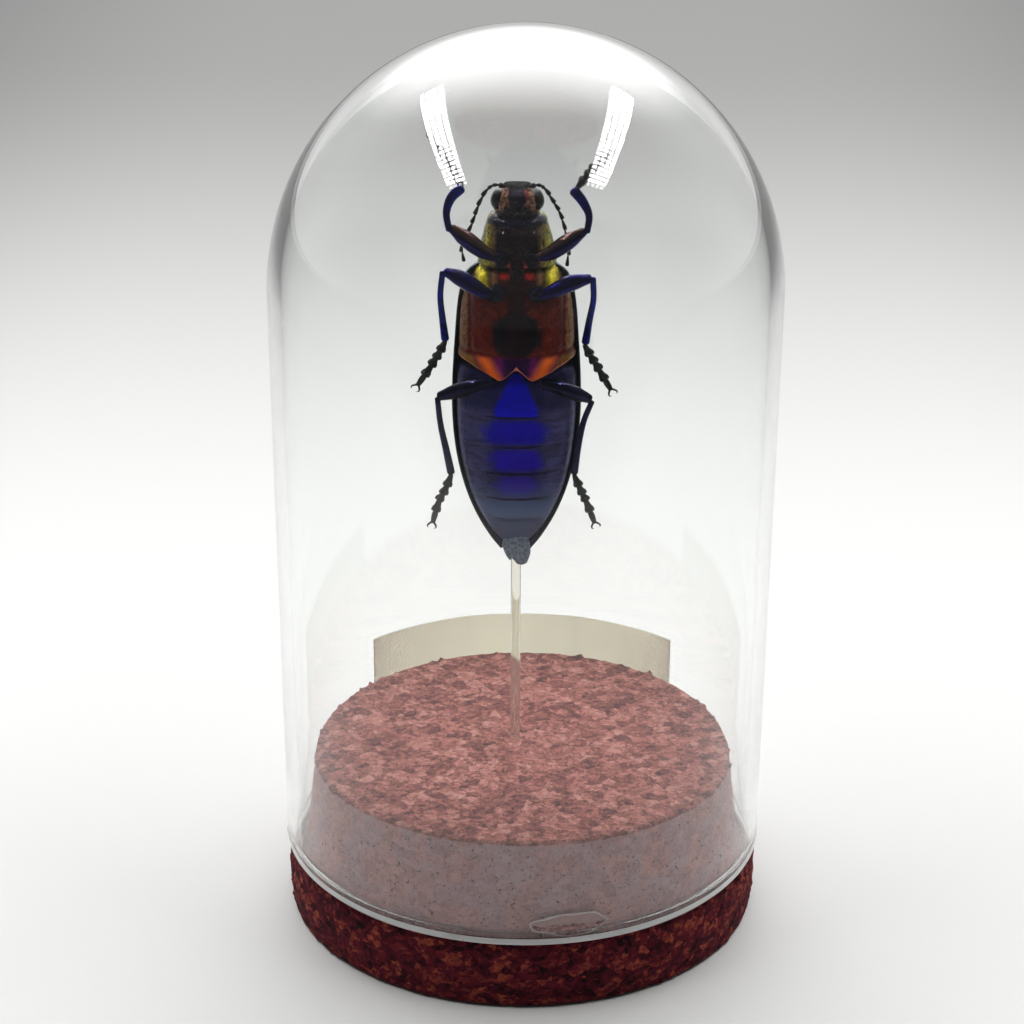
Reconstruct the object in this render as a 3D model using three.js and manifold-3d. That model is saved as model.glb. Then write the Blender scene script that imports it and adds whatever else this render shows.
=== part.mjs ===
// A jewel beetle mounted head up on a clear rod, under a blown glass dome that stands on a cork base.
// Millimetres, +Z up. The origin is the middle of the cork's underside, and the beetle's belly faces -Y.
import * as THREE from "three";
import { mergeVertices } from "three/addons/utils/BufferGeometryUtils.js";
import Module from "manifold-3d";

const wasm = await Module();
wasm.setup();

// Cork base: a flange that carries the glass, and a tapered plug that stands up inside it
const FLANGE_RADIUS = 29;
const FLANGE_BULGE = 0.3;
const FLANGE_HEIGHT = 8.5;
const PLUG_FOOT_RADIUS = 27.2;
const PLUG_TOP_RADIUS = 25.7;
const PLUG_TOP = 20.5;
const CORK_ROUND = 0.6;

// Glass dome: a slightly tapered wall with a rounded rim, and a top that is nearly half a ball
const GLASS_RADIUS = 30;
const GLASS_RIM_RADIUS = 29.6;
const GLASS_WALL = 1.6;
const GLASS_SHOULDER = 79;
const GLASS_TOP = 109.5;
const GLASS_CAP_STEPS = 6;
const RIM_GAP = 0.05;
const TURN_STEPS = 40;

// Paper label, curled against the glass behind the plug
const LABEL_RADIUS = 27.8;
const LABEL_THICKNESS = 0.25;
const LABEL_BOTTOM = 12.5;
const LABEL_TOP = 25.5;
const LABEL_FROM = THREE.MathUtils.degToRad(44.5);
const LABEL_TO = THREE.MathUtils.degToRad(136.5);
const LABEL_STEPS = 8;

// Dabs of clear glue in the gap between the plug's foot and the glass
const GLUE_THICKNESS = 0.4;
const GLUE_RADIUS = PLUG_FOOT_RADIUS + 0.3;
const GLUE_DABS = {
  glue_dab_front: { turn: THREE.MathUtils.degToRad(-78.5), width: 10.5, height: 3.8 },
  glue_dab_side: { turn: THREE.MathUtils.degToRad(-165), width: 3.2, height: 4.2 },
};

// Clear rod that stands in the cork and ends inside the beetle
const ROD_RADIUS = 0.6;
const ROD_FOOT = 12;
const ROD_TOP = 55.5;
const ROD_X = -0.95;
const ROD_HOLE_RADIUS = 0.72;
const ROD_SIDES = 8;

// Beetle: its own frame stands on the body's axis, at the height of the tail's tip
const BEETLE_X = -1;
const BEETLE_Y = -0.5;
const BEETLE_FOOT = 45;
const CLEARANCE = 0.12;
const BODY_SIDES = 20;

// Rings of the body are ovals at the back, and squarer than an oval on the belly side
const OVAL = 2;
const BELLY_FLATNESS = 2.4;

// Blocks that cut the beetle reach past it in depth and in height
const CUT_DEPTH = 20;
const CUT_TOP = 50;
const CUT_SIDE = 9;

const colour = (color, roughness, metalness = 0) =>
  new THREE.MeshStandardMaterial({ color, roughness, metalness });
const GLASS = colour(0xdfe8e6, 0.03);
GLASS.transparent = true;
GLASS.opacity = 0.35;
const CORK = colour(0x8a4a42, 0.9);
const PAPER = colour(0xcbc7a4, 0.85);
const ACRYLIC = colour(0xd8d6cc, 0.1);
const GLUE = colour(0xd9cdc6, 0.15);
const BLUE_SHELL = colour(0x1d1a6e, 0.25, 0.6);
const COPPER_SHELL = colour(0x7a2a16, 0.3, 0.6);
const GREEN_SHELL = colour(0x6f6a1c, 0.35, 0.6);
const FACE_SHELL = colour(0x5a3a2c, 0.4, 0.5);
const BLACK_SHELL = colour(0x15151a, 0.45, 0.2);
const SLATE_SHELL = colour(0x2c3550, 0.4, 0.3);

// Turns a closed geometry into a solid for cutting and joining
function solidOf(geometry) {
  const shape = geometry.clone();
  shape.deleteAttribute("normal");
  shape.deleteAttribute("uv");
  const merged = mergeVertices(shape, 1e-4);
  return new wasm.Manifold(
    new wasm.Mesh({
      numProp: 3,
      vertProperties: new Float32Array(merged.attributes.position.array),
      triVerts: new Uint32Array(merged.index.array),
    }),
  );
}

// Gives a solid back as a geometry. Slivers that a cut leaves beside it are dropped
function geometryOf(solid) {
  const pieces = solid.decompose().sort((a, b) => b.volume() - a.volume());
  const mesh = pieces[0].getMesh();
  const geometry = new THREE.BufferGeometry();
  geometry.setAttribute("position", new THREE.BufferAttribute(mesh.vertProperties, 3));
  geometry.setIndex(new THREE.BufferAttribute(mesh.triVerts, 1));
  geometry.computeVertexNormals();
  return geometry;
}

function addMesh(group, name, geometry, material) {
  const mesh = new THREE.Mesh(geometry, material);
  mesh.name = name;
  group.add(mesh);
}

const joined = (solids) => solids.reduce((all, next) => all.add(next));

const steps = (from, to, count) =>
  Array.from({ length: count + 1 }, (_, i) => from + ((to - from) * i) / count);

// A closed skin over a row of rings, each with a centre and a point for every angle
function skin(rings, sides) {
  const spans = rings.length - 1;
  const geometry = new THREE.CylinderGeometry(1, 1, spans, sides, spans);
  const position = geometry.attributes.position;
  const point = new THREE.Vector3();
  for (let i = 0; i < position.count; i += 1) {
    point.fromBufferAttribute(position, i);
    const ring = rings[Math.round(point.y + spans / 2)];
    const onAxis = Math.hypot(point.x, point.z) < 0.5;
    const moved = onAxis ? ring.centre : ring.at(Math.atan2(point.z, point.x));
    position.setXYZ(i, moved.x, moved.y, moved.z);
  }
  return solidOf(geometry);
}

// Smooth sizes between rows of [height, size, size, ...]
function sizesBetween(rows) {
  const curve = new THREE.CubicInterpolant(
    rows.map((row) => row[0]),
    rows.flatMap((row) => row.slice(1)),
    rows[0].length - 1,
  );
  return (height) => Array.from(curve.evaluate(height));
}

// One level ring of the body. On the belly side it may be squarer than an ellipse, where flatness is above 2
function bodyRing(height, [halfWidth, belly, back], flatness) {
  return {
    centre: new THREE.Vector3(0, 0, height),
    at: (angle) => {
      const across = Math.sin(angle);
      const deep = Math.cos(angle);
      const power = deep < 0 ? OVAL / flatness : 1;
      const depth = deep < 0 ? belly : back;
      const x = Math.sign(across) * Math.abs(across) ** power * halfWidth;
      const y = Math.sign(deep) * Math.abs(deep) ** power * depth;
      return new THREE.Vector3(x, y, height);
    },
  };
}

// A stretch of the body, from rows of [height, half width, belly depth, back depth]
function bodyPart(rows, heights, { sides = BODY_SIDES, grow = 0, flatness = BELLY_FLATNESS } = {}) {
  const sizesAt = sizesBetween(rows);
  const rings = heights.map((height) =>
    bodyRing(
      height,
      sizesAt(height).map((size) => size + grow),
      flatness,
    ),
  );
  return skin(rings, sides);
}

// A limb through points of [x, y, z, half width, half depth], with its two ends rounded off
function limb(points, sides = 8, grow = 0) {
  const places = points.map(([x, y, z]) => new THREE.Vector3(x, y, z));
  const rings = [];
  places.forEach((place, i) => {
    const before = places[Math.max(i - 1, 0)];
    const after = places[Math.min(i + 1, places.length - 1)];
    const along = after.clone().sub(before).normalize();
    const wide = along.clone().cross(new THREE.Vector3(0, 1, 0)).normalize();
    const deep = wide.clone().cross(along);
    const [halfWidth, halfDepth] = points[i].slice(3).map((size) => size + grow);
    const addRing = (shift, share) => {
      const centre = place.clone().addScaledVector(along, shift);
      const at = (angle) =>
        centre
          .clone()
          .addScaledVector(deep, Math.cos(angle) * halfDepth * share)
          .addScaledVector(wide, -Math.sin(angle) * halfWidth * share);
      rings.push({ centre, at });
    };
    if (i === 0) addRing(-halfWidth * 0.6, 0.55);
    addRing(0, 1);
    if (i === places.length - 1) addRing(halfWidth * 0.6, 0.55);
  });
  return skin(rings, sides);
}

function ball([x, y, z], [rx, ry, rz], sides = 10) {
  const geometry = new THREE.SphereGeometry(1, sides, Math.ceil(sides * 0.7));
  geometry.scale(rx, ry, rz);
  geometry.translate(x, y, z);
  return solidOf(geometry);
}

function uprightRod(radius, x, y, bottom, top) {
  const geometry = new THREE.CylinderGeometry(radius, radius, top - bottom, ROD_SIDES);
  geometry.rotateX(Math.PI / 2);
  geometry.translate(x, y, (top + bottom) / 2);
  return geometry;
}

// A turned shape, from a profile of [radius, height] that closes on itself or on the axis
function turned(profile) {
  const geometry = new THREE.LatheGeometry(
    profile.map(([radius, height]) => new THREE.Vector2(radius, height)),
    TURN_STEPS,
  );
  geometry.rotateX(Math.PI / 2);
  return geometry;
}

// An upright outline of [x, z] corners as a prism through the whole depth of the beetle
function prism(corners) {
  const shape = new THREE.Shape(corners.map(([x, z]) => new THREE.Vector2(x, z)));
  const geometry = new THREE.ExtrudeGeometry(shape, { depth: CUT_DEPTH, bevelEnabled: false });
  geometry.rotateX(Math.PI / 2);
  geometry.translate(0, CUT_DEPTH / 2, 0);
  return solidOf(geometry);
}

// A strip that follows the glass round, between two radii, two heights and two turns
function curvedStrip([inner, outer], [bottom, top], [from, to], curveSegments) {
  const shape = new THREE.Shape();
  shape.absarc(0, 0, outer, from, to, false);
  shape.absarc(0, 0, inner, to, from, true);
  const depth = top - bottom;
  const geometry = new THREE.ExtrudeGeometry(shape, { depth, bevelEnabled: false, curveSegments });
  geometry.translate(0, 0, bottom);
  return geometry;
}

// The glass is a shell with an open foot: down the inside, round the rim and up the outside
function glassDome() {
  const rimHeight = GLASS_WALL / 2;
  const foot = FLANGE_HEIGHT + RIM_GAP;
  const cap = (wall) =>
    steps(0, 1, GLASS_CAP_STEPS).map((share) => {
      const turn = (share * Math.PI) / 2;
      const radius = share === 1 ? 0 : (GLASS_RADIUS - wall) * Math.cos(turn);
      return [radius, GLASS_SHOULDER + (GLASS_TOP - GLASS_SHOULDER - wall) * Math.sin(turn)];
    });
  return turned([
    ...cap(GLASS_WALL).reverse(),
    [GLASS_RIM_RADIUS - GLASS_WALL, foot + rimHeight],
    [GLASS_RIM_RADIUS - GLASS_WALL * 0.75, foot],
    [GLASS_RIM_RADIUS - GLASS_WALL * 0.25, foot],
    [GLASS_RIM_RADIUS, foot + rimHeight],
    ...cap(0),
  ]);
}

// Flange and plug are one piece of pressed cork, with a narrow hole for the rod
function corkBase() {
  const profile = [
    [0, 0],
    [FLANGE_RADIUS - CORK_ROUND, 0],
    [FLANGE_RADIUS, CORK_ROUND],
    [FLANGE_RADIUS + FLANGE_BULGE, FLANGE_HEIGHT / 2],
    [FLANGE_RADIUS, FLANGE_HEIGHT - CORK_ROUND / 2],
    [FLANGE_RADIUS - CORK_ROUND / 2, FLANGE_HEIGHT],
    [PLUG_FOOT_RADIUS, FLANGE_HEIGHT],
    [PLUG_TOP_RADIUS, PLUG_TOP - CORK_ROUND],
    [PLUG_TOP_RADIUS - CORK_ROUND, PLUG_TOP],
    [0, PLUG_TOP],
  ];
  const hole = uprightRod(ROD_HOLE_RADIUS, ROD_X, 0, ROD_FOOT - CLEARANCE, PLUG_TOP + 1);
  return geometryOf(solidOf(turned(profile)).subtract(solidOf(hole)));
}

function paperLabel() {
  const radii = [LABEL_RADIUS - LABEL_THICKNESS, LABEL_RADIUS];
  return curvedStrip(radii, [LABEL_BOTTOM, LABEL_TOP], [LABEL_FROM, LABEL_TO], LABEL_STEPS);
}

// A glue dab is a strip along the glass, cut to an oval
function glueDab({ turn, width, height }) {
  const radii = [GLUE_RADIUS - GLUE_THICKNESS / 2, GLUE_RADIUS + GLUE_THICKNESS / 2];
  const bottom = FLANGE_HEIGHT + CLEARANCE;
  const halfTurn = width / GLUE_RADIUS;
  const strip = curvedStrip(radii, [bottom, bottom + height], [turn - halfTurn, turn + halfTurn], 6);
  const middle = [
    GLUE_RADIUS * Math.cos(turn),
    GLUE_RADIUS * Math.sin(turn),
    bottom + height * 0.35,
  ];
  const oval = ball(middle, [width / 2, width / 2, height * 0.65]);
  return geometryOf(solidOf(strip).intersect(oval));
}

// Trunk of the beetle from the tail up to the neck, as [height, half width, belly depth, back depth]
const TRUNK = [
  [2.9, 1.5, 0.9, 0.9],
  [4.5, 3.0, 1.5, 1.4],
  [6.5, 4.2, 2.0, 2.0],
  [9.6, 5.5, 2.6, 2.7],
  [13.9, 6.55, 3.2, 3.3],
  [18.7, 7.05, 3.7, 3.7],
  [22.8, 7.05, 4.1, 3.9],
  [27.6, 6.8, 4.5, 3.8],
  [32, 6.5, 4.5, 3.4],
  [35, 5.8, 3.9, 2.8],
  [37.2, 4.5, 2.9, 2],
];
const TRUNK_FOOT = TRUNK[0][0];
const TRUNK_TOP = TRUNK[TRUNK.length - 1][0];

// Outer face of the two wing cases together
const WING_CASES = [
  [1.9, 1.9, 0.9, 0.9],
  [3.3, 3.0, 1.6, 1.7],
  [6.2, 4.7, 2.6, 2.9],
  [9.7, 6.1, 3.4, 3.7],
  [14.1, 7.15, 4.0, 4.3],
  [18.8, 7.62, 4.2, 4.7],
  [23, 7.62, 4.3, 4.85],
  [27.7, 7.35, 4.3, 4.75],
  [33.6, 6.8, 4.0, 4.3],
  [36.2, 5.95, 3.4, 3.5],
  [37.3, 4.7, 2.6, 2.5],
];
const WING_CASE_HEIGHTS = [1.9, 2.6, 3.3, 4.6, 6.2, 9.7, 14.1, 19, 25, 30, 33.6, 35.4, 36.5, 37.3];
const WING_CASE_SIDES = 24;
const WING_CASE_THICKNESS = 0.45;
const WING_CASE_SEAM = 0.06;
const WING_CASE_FOLD = 0.45;
const TIP_NOTCH = [
  [-1.5, 0],
  [-1.1, 3],
  [-0.5, 5.2],
  [0, 6.2],
  [0.5, 5.2],
  [1.1, 3],
  [1.5, 0],
];

const FORE_BODY = [
  [37.4, 4.6, 3.3, 3.0],
  [39, 4.4, 3.7, 3.5],
  [40.6, 4.0, 3.6, 3.4],
  [42.3, 3.5, 3.2, 3.0],
  [43.4, 3.0, 2.4, 2.3],
];
const FORE_BODY_HEIGHTS = steps(37.4, 43.4, 5);

const HEAD = [
  [43.55, 2.7, 2.0, 1.9],
  [44.4, 2.75, 2.5, 2.1],
  [45.4, 2.6, 2.6, 2.0],
  [46.3, 2.1, 2.3, 1.6],
  [47.1, 1.3, 1.4, 0.9],
];
const HEAD_HEIGHTS = steps(43.55, 47.1, 5);
const HEAD_SIDES = 16;
const EYE = { across: 2.15, front: -1.4, height: 45.1, size: [0.98, 1.5, 1.4], sides: 9 };
const JAW = {
  root: { across: 0.75, front: -2.1, height: 44.3, size: [0.5, 0.5] },
  tip: { across: 0.3, front: -2.9, height: 44, size: [0.28, 0.35] },
};

// Heights of the seams between the belly's plates, and how far each plate stands over the next
const BELLY_SEAMS = [6.7, 9.5, 12.9, 16.4, 20.2];
const BELLY_LEDGE = 0.14;
const PLATE_GAP = 0.05;

// The thorax covers the belly from here on, and the belly ends inside it
const BELLY_COVERED = 23;
const BELLY_TOP = 27;

// Rear edge of the thorax as [across, height]. It covers the root of the belly with two lobes
const THORAX_EDGE = [
  [-CUT_SIDE, 27.2],
  [-6.1, 26.4],
  [-3.3, 25.2],
  [-1.9, 24.3],
  [0, 26],
  [1.8, 24.3],
  [3.2, 25],
  [6.2, 26.4],
  [CUT_SIDE, 27.2],
];
const THORAX_PROUD = 0.18;
const THORAX_ROWS = TRUNK.map(([height, halfWidth, belly, back]) => [
  height,
  halfWidth,
  belly + THORAX_PROUD,
  back,
]);

const THORAX_HEIGHTS = steps(23.5, TRUNK_TOP, 7);

// All of the trunk that lies above the thorax's rear edge
function aboveThoraxEdge(drop) {
  const edge = THORAX_EDGE.map(([x, z]) => [x, z - drop]);
  return prism([...edge, [CUT_SIDE, CUT_TOP], [-CUT_SIDE, CUT_TOP]]);
}

function thorax() {
  const trunk = bodyPart(THORAX_ROWS, THORAX_HEIGHTS);
  return geometryOf(trunk.intersect(aboveThoraxEdge(0)));
}

// Room for the rod inside the beetle
function rodRoom() {
  const top = ROD_TOP - BEETLE_FOOT + CLEARANCE;
  return solidOf(uprightRod(ROD_HOLE_RADIUS, ROD_X - BEETLE_X, -BEETLE_Y, -1, top));
}

// The belly's plates overlap towards the tail, so each ends in a small ledge
function abdomen() {
  const sizesAt = sizesBetween(TRUNK);
  const seams = [TRUNK_FOOT, ...BELLY_SEAMS, BELLY_COVERED, BELLY_TOP];
  const rings = seams.slice(0, -1).flatMap((from, i) => {
    const plateTop = seams[i + 1] - PLATE_GAP;
    return [from, plateTop].map((height) => {
      const [halfWidth, belly, back] = sizesAt(height);
      const ledge = height === from && from < BELLY_COVERED ? BELLY_LEDGE : 0;
      return bodyRing(height, [halfWidth, belly + ledge, back], BELLY_FLATNESS);
    });
  });
  const belly = skin(rings, BODY_SIDES);
  return geometryOf(belly.subtract(aboveThoraxEdge(CLEARANCE)).subtract(rodRoom()));
}

// Each wing case is half of a thin shell, folded a little way round the sides of the belly
function wingCase(side, bodyRoom) {
  const thinned = WING_CASES.map(([height, ...sizes]) => [
    height,
    ...sizes.map((size) => size - WING_CASE_THICKNESS),
  ]);
  const lower = [thinned[0][0] - 1, ...thinned[0].slice(1)];
  const last = thinned[thinned.length - 1];
  const upper = [last[0] + 1, ...last.slice(1)];
  const options = { sides: WING_CASE_SIDES, flatness: OVAL };
  const outer = bodyPart(WING_CASES, WING_CASE_HEIGHTS, options);
  const inner = bodyPart([lower, ...thinned, upper], [lower[0], ...WING_CASE_HEIGHTS, upper[0]], options);
  const half = new THREE.BoxGeometry(CUT_SIDE, CUT_SIDE, CUT_TOP);
  const middle = CUT_SIDE / 2;
  half.translate(side * (middle + WING_CASE_SEAM / 2), middle - WING_CASE_FOLD, CUT_TOP / 2);
  const shell = outer.subtract(inner).intersect(solidOf(half));
  return geometryOf(shell.subtract(prism(TIP_NOTCH)).subtract(bodyRoom));
}

// The last segment sticks out below the wing cases, with one broad lobe and one narrow one
const BROAD_LOBE = [
  [0.2, -1.1, 2.6, 1.35, 0.75],
  [0.45, -1.4, 1.6, 1.25, 0.8],
  [0.75, -1.5, 0.9, 0.8, 0.6],
];
const NARROW_LOBE = [
  [-1.1, -1.0, 2.6, 0.5, 0.55],
  [-0.9, -1.2, 1.6, 0.4, 0.45],
  [-0.6, -1.3, 0.95, 0.16, 0.25],
];
const TAIL_HEIGHTS = steps(TRUNK_FOOT, 8, 4);

function tailSegment() {
  const lobes = limb(BROAD_LOBE).add(limb(NARROW_LOBE, 6));
  const trunkRoom = bodyPart(TRUNK, TAIL_HEIGHTS, { grow: CLEARANCE + BELLY_LEDGE });
  return geometryOf(lobes.subtract(rodRoom()).subtract(trunkRoom));
}

// Head with its two large eyes, and jaws on the belly side
function head() {
  const sides = [-1, 1];
  const capsule = bodyPart(HEAD, HEAD_HEIGHTS, { sides: HEAD_SIDES });
  const eyes = sides.map((side) => eyeBall(side));
  const jaws = sides.map((side) => {
    const points = [JAW.root, JAW.tip].map(({ across, front, height, size }) => [
      side * across,
      front,
      height,
      ...size,
    ]);
    return limb(points, 6);
  });
  return geometryOf(joined([capsule, ...eyes, ...jaws]));
}

function eyeBall(side, grow = 0) {
  const size = EYE.size.map((half) => half + grow);
  return ball([side * EYE.across, EYE.front, EYE.height], size, EYE.sides);
}

// Eleven segments. From the fourth on, each is drawn out to the outer side like the tooth of a saw
const ANTENNA_SEGMENTS = 11;
const ANTENNA_PLAIN_SEGMENTS = 3;
const ANTENNA_HALF_WIDTH = 0.24;
const ANTENNA_TOOTH = 0.12;
const ANTENNAE = {
  antenna_left: {
    side: -1,
    route: [
      [-2.3, -1.5, 46.9],
      [-3.4, -1.4, 46.3],
      [-4.3, -1.1, 44.6],
      [-4.9, -0.6, 42.8],
      [-5.5, -0.1, 41.1],
      [-6.4, 0.6, 39],
      [-6.1, 1.3, 37],
    ],
  },
  antenna_right: {
    side: 1,
    route: [
      [2.1, -1.5, 47],
      [2.9, -1.4, 46.5],
      [4, -1.1, 44.9],
      [4.8, -0.6, 43.4],
      [5.4, -0.1, 41.4],
      [5.9, 0.6, 38.8],
      [5.7, 1.3, 36.5],
    ],
  },
};

const curveThrough = (route) =>
  new THREE.CatmullRomCurve3(route.map((place) => new THREE.Vector3(...place)));

function antenna({ side, route }) {
  const path = curveThrough(route);
  const points = [];
  for (let i = 0; i < ANTENNA_SEGMENTS; i += 1) {
    const tooth = i < ANTENNA_PLAIN_SEGMENTS ? 0 : ANTENNA_TOOTH;
    const root = path.getPointAt((i + 0.08) / ANTENNA_SEGMENTS);
    const tip = path.getPointAt((i + 0.92) / ANTENNA_SEGMENTS);
    points.push([root.x, root.y, root.z, ANTENNA_HALF_WIDTH * 0.55, ANTENNA_HALF_WIDTH * 0.55]);
    points.push([tip.x + side * tooth, tip.y, tip.z, ANTENNA_HALF_WIDTH + tooth, ANTENNA_HALF_WIDTH * 0.8]);
  }
  const headRoom = bodyPart(HEAD, HEAD_HEIGHTS, { sides: HEAD_SIDES, grow: CLEARANCE });
  return geometryOf(limb(points, 5).subtract(headRoom).subtract(eyeBall(side, CLEARANCE)));
}

// Legs: half widths of each segment from the body outwards, by pair
const LEG_PAIRS = {
  fore: { coxa: 0.85, femur: [0.55, 0.88, 1, 0.62], tibia: [0.4, 0.42, 0.55, 0.62] },
  mid: { coxa: 0.95, femur: [0.55, 0.9, 1, 0.62], tibia: [0.38, 0.38, 0.4, 0.48] },
  hind: { coxa: 0.6, femur: [0.55, 0.85, 0.92, 0.6], tibia: [0.36, 0.38, 0.42, 0.48] },
};
const LEG_FLATNESS = 0.85;
const TARSUS_SEGMENTS = 5;
const TARSUS_ROOT = 0.2;
const TARSUS_LOBE = 0.44;
const CLAW_LENGTH = 0.75;

// Where each leg lies: the coxa's middle, and points along the femur, tibia and tarsus
const LEGS = {
  fore_left: {
    coxa: [-1.6, -3.5, 38.7],
    femur: [[-2.6, -3.8, 39], [-4, -3.8, 39.7], [-5.8, -3.8, 41.1], [-7.4, -3.7, 42.3]],
    tibia: [[-7.7, -3.7, 42.1], [-8, -3.5, 44], [-7.5, -3.2, 45.6], [-6.4, -2.9, 46.7]],
    tarsus: [[-6.3, -2.8, 46.9], [-6.9, -2.6, 48.3], [-8, -2.4, 49.9], [-9.4, -2.1, 52.2]],
  },
  fore_right: {
    coxa: [1.6, -3.5, 38.7],
    femur: [[2.3, -3.8, 39], [3.8, -3.8, 39.5], [5.7, -3.8, 40.8], [7.5, -3.7, 42]],
    tibia: [[7.9, -3.7, 42], [8.1, -3.5, 43.8], [7.4, -3.2, 45.3], [6.4, -2.9, 46.5]],
    tarsus: [[6.7, -2.8, 46.8], [7.8, -2.6, 48.1], [8.7, -2.4, 49.2], [10.5, -2.1, 50.6]],
  },
  mid_left: {
    coxa: [-2.5, -3.9, 34.7],
    femur: [[-2.9, -4.1, 34.4], [-4.3, -4, 35.2], [-6.3, -3.5, 36.3], [-8.1, -3, 37]],
    tibia: [[-8.5, -3, 36.9], [-8.8, -2.7, 34.1], [-8.6, -2.4, 31.4], [-8.3, -2.2, 28.7]],
    tarsus: [[-8.3, -2.1, 28.4], [-9.1, -2, 26.8], [-10, -2, 25.4], [-11.5, -2.1, 23.2]],
  },
  mid_right: {
    coxa: [2.4, -3.9, 34.7],
    femur: [[2.6, -4.1, 34.4], [4.2, -4, 35.1], [6.2, -3.5, 35.9], [8.3, -3, 36.3]],
    tibia: [[8.7, -3, 36.3], [8.8, -2.7, 33.7], [8.4, -2.4, 31.2], [8, -2.2, 28.4]],
    tarsus: [[7.9, -2.1, 28], [8.8, -2, 26.4], [9.7, -2, 25], [11, -2.1, 22.8]],
  },
  hind_left: {
    coxa: [-2.6, -3.9, 24.2],
    femur: [[-3, -4.2, 24.3], [-4.9, -4.1, 23.8], [-7, -3.5, 22.9], [-8.9, -2.9, 22.1]],
    tibia: [[-9.2, -2.9, 21.8], [-8.9, -2.5, 18.6], [-8.3, -2.1, 15.4], [-7.7, -1.8, 12.2]],
    tarsus: [[-7.7, -1.7, 11.8], [-8.4, -1.6, 9.9], [-9.2, -1.6, 8.4], [-9.9, -1.7, 5.8]],
  },
  hind_right: {
    coxa: [2.6, -3.9, 24.2],
    femur: [[3, -4.2, 24.2], [5, -4.1, 23.6], [6.9, -3.5, 22.7], [8.5, -2.9, 21.9]],
    tibia: [[8.8, -2.9, 21.5], [7.9, -2.5, 18.9], [7.3, -2.1, 15.7], [6.9, -1.8, 12.3]],
    tarsus: [[6.9, -1.7, 11.9], [7.7, -1.6, 10], [8.4, -1.6, 8.5], [9.4, -1.7, 5.9]],
  },
};

const widened = (route, halfWidths) =>
  route.map((place, i) => [...place, halfWidths[i], halfWidths[i] * LEG_FLATNESS]);

// Five lobed segments in one chain, and a pair of hooked claws
function tarsus(route) {
  const path = curveThrough(route);
  const points = [];
  for (let i = 0; i < TARSUS_SEGMENTS; i += 1) {
    const lobe = i === TARSUS_SEGMENTS - 1 ? TARSUS_ROOT * 1.4 : TARSUS_LOBE;
    const root = path.getPointAt((i + 0.05) / TARSUS_SEGMENTS);
    const tip = path.getPointAt((i + 0.9) / TARSUS_SEGMENTS);
    points.push([...root, TARSUS_ROOT, TARSUS_ROOT]);
    points.push([...tip, lobe, TARSUS_ROOT * 1.3]);
  }
  const end = path.getPointAt(0.98);
  const along = path.getTangentAt(1);
  const wide = along.clone().cross(new THREE.Vector3(0, 1, 0)).normalize();
  const claws = [-1, 1].map((hand) => {
    const place = (forward, out, back) =>
      end
        .clone()
        .addScaledVector(along, CLAW_LENGTH * forward)
        .addScaledVector(wide, hand * out)
        .add(new THREE.Vector3(0, back, 0));
    const bend = place(0.5, 0.42, 0);
    const tip = place(1, 0.3, 0.2);
    return limb([[...end, 0.16, 0.16], [...bend, 0.12, 0.12], [...tip, 0.05, 0.05]], 4);
  });
  return joined([limb(points, 6), ...claws]);
}

function addLegs(group, bodyRoom) {
  Object.entries(LEGS).forEach(([place, leg]) => {
    const sizes = LEG_PAIRS[place.split("_")[0]];
    const femurPoints = widened(leg.femur, sizes.femur);
    const tibiaPoints = widened(leg.tibia, sizes.tibia);
    const coxa = ball(leg.coxa, [sizes.coxa, sizes.coxa, sizes.coxa], 6);
    const femur = limb(femurPoints).add(coxa).subtract(bodyRoom);
    const tibia = limb(tibiaPoints, 6).subtract(limb(femurPoints, 8, CLEARANCE));
    const foot = tarsus(leg.tarsus).subtract(limb(tibiaPoints, 6, CLEARANCE));
    addMesh(group, `${place}_femur`, geometryOf(femur), BLUE_SHELL);
    addMesh(group, `${place}_tibia`, geometryOf(tibia), BLUE_SHELL);
    addMesh(group, `${place}_tarsus`, geometryOf(foot), BLACK_SHELL);
  });
}

function beetle() {
  const group = new THREE.Group();
  group.position.set(BEETLE_X, BEETLE_Y, BEETLE_FOOT);
  addMesh(group, "head", head(), FACE_SHELL);
  Object.entries(ANTENNAE).forEach(([name, shape]) => {
    addMesh(group, name, antenna(shape), BLACK_SHELL);
  });
  addMesh(group, "prothorax", geometryOf(bodyPart(FORE_BODY, FORE_BODY_HEIGHTS)), GREEN_SHELL);
  addMesh(group, "hind_thorax", thorax(), COPPER_SHELL);
  addMesh(group, "abdomen", abdomen(), BLUE_SHELL);
  addMesh(group, "tail_segment", tailSegment(), SLATE_SHELL);
  const grown = { grow: CLEARANCE };
  const trunkRoom = bodyPart(THORAX_ROWS, THORAX_HEIGHTS, grown);
  const bodyRoom = trunkRoom.add(bodyPart(FORE_BODY, FORE_BODY_HEIGHTS, grown));
  addMesh(group, "wing_case_left", wingCase(-1, bodyRoom), BLUE_SHELL);
  addMesh(group, "wing_case_right", wingCase(1, bodyRoom), BLUE_SHELL);
  addLegs(group, bodyRoom);
  return group;
}

const mountedBeetle = new THREE.Group();
addMesh(mountedBeetle, "cork_base", corkBase(), CORK);
addMesh(mountedBeetle, "glass_dome", glassDome(), GLASS);
addMesh(mountedBeetle, "paper_label", paperLabel(), PAPER);
addMesh(mountedBeetle, "clear_rod", uprightRod(ROD_RADIUS, ROD_X, 0, ROD_FOOT, ROD_TOP), ACRYLIC);
Object.entries(GLUE_DABS).forEach(([name, dab]) => {
  addMesh(mountedBeetle, name, glueDab(dab), GLUE);
});
mountedBeetle.add(beetle());

export default mountedBeetle;
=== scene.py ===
"""A jewel beetle mounted on a clear rod, under a glass dome that stands on a cork base."""

import math

import bmesh
import bpy
from bpy.props import FloatProperty, FloatVectorProperty, IntProperty, PointerProperty
from bpy.types import Operator, Panel, PropertyGroup
from mathutils import Matrix, Vector, noise


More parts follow.
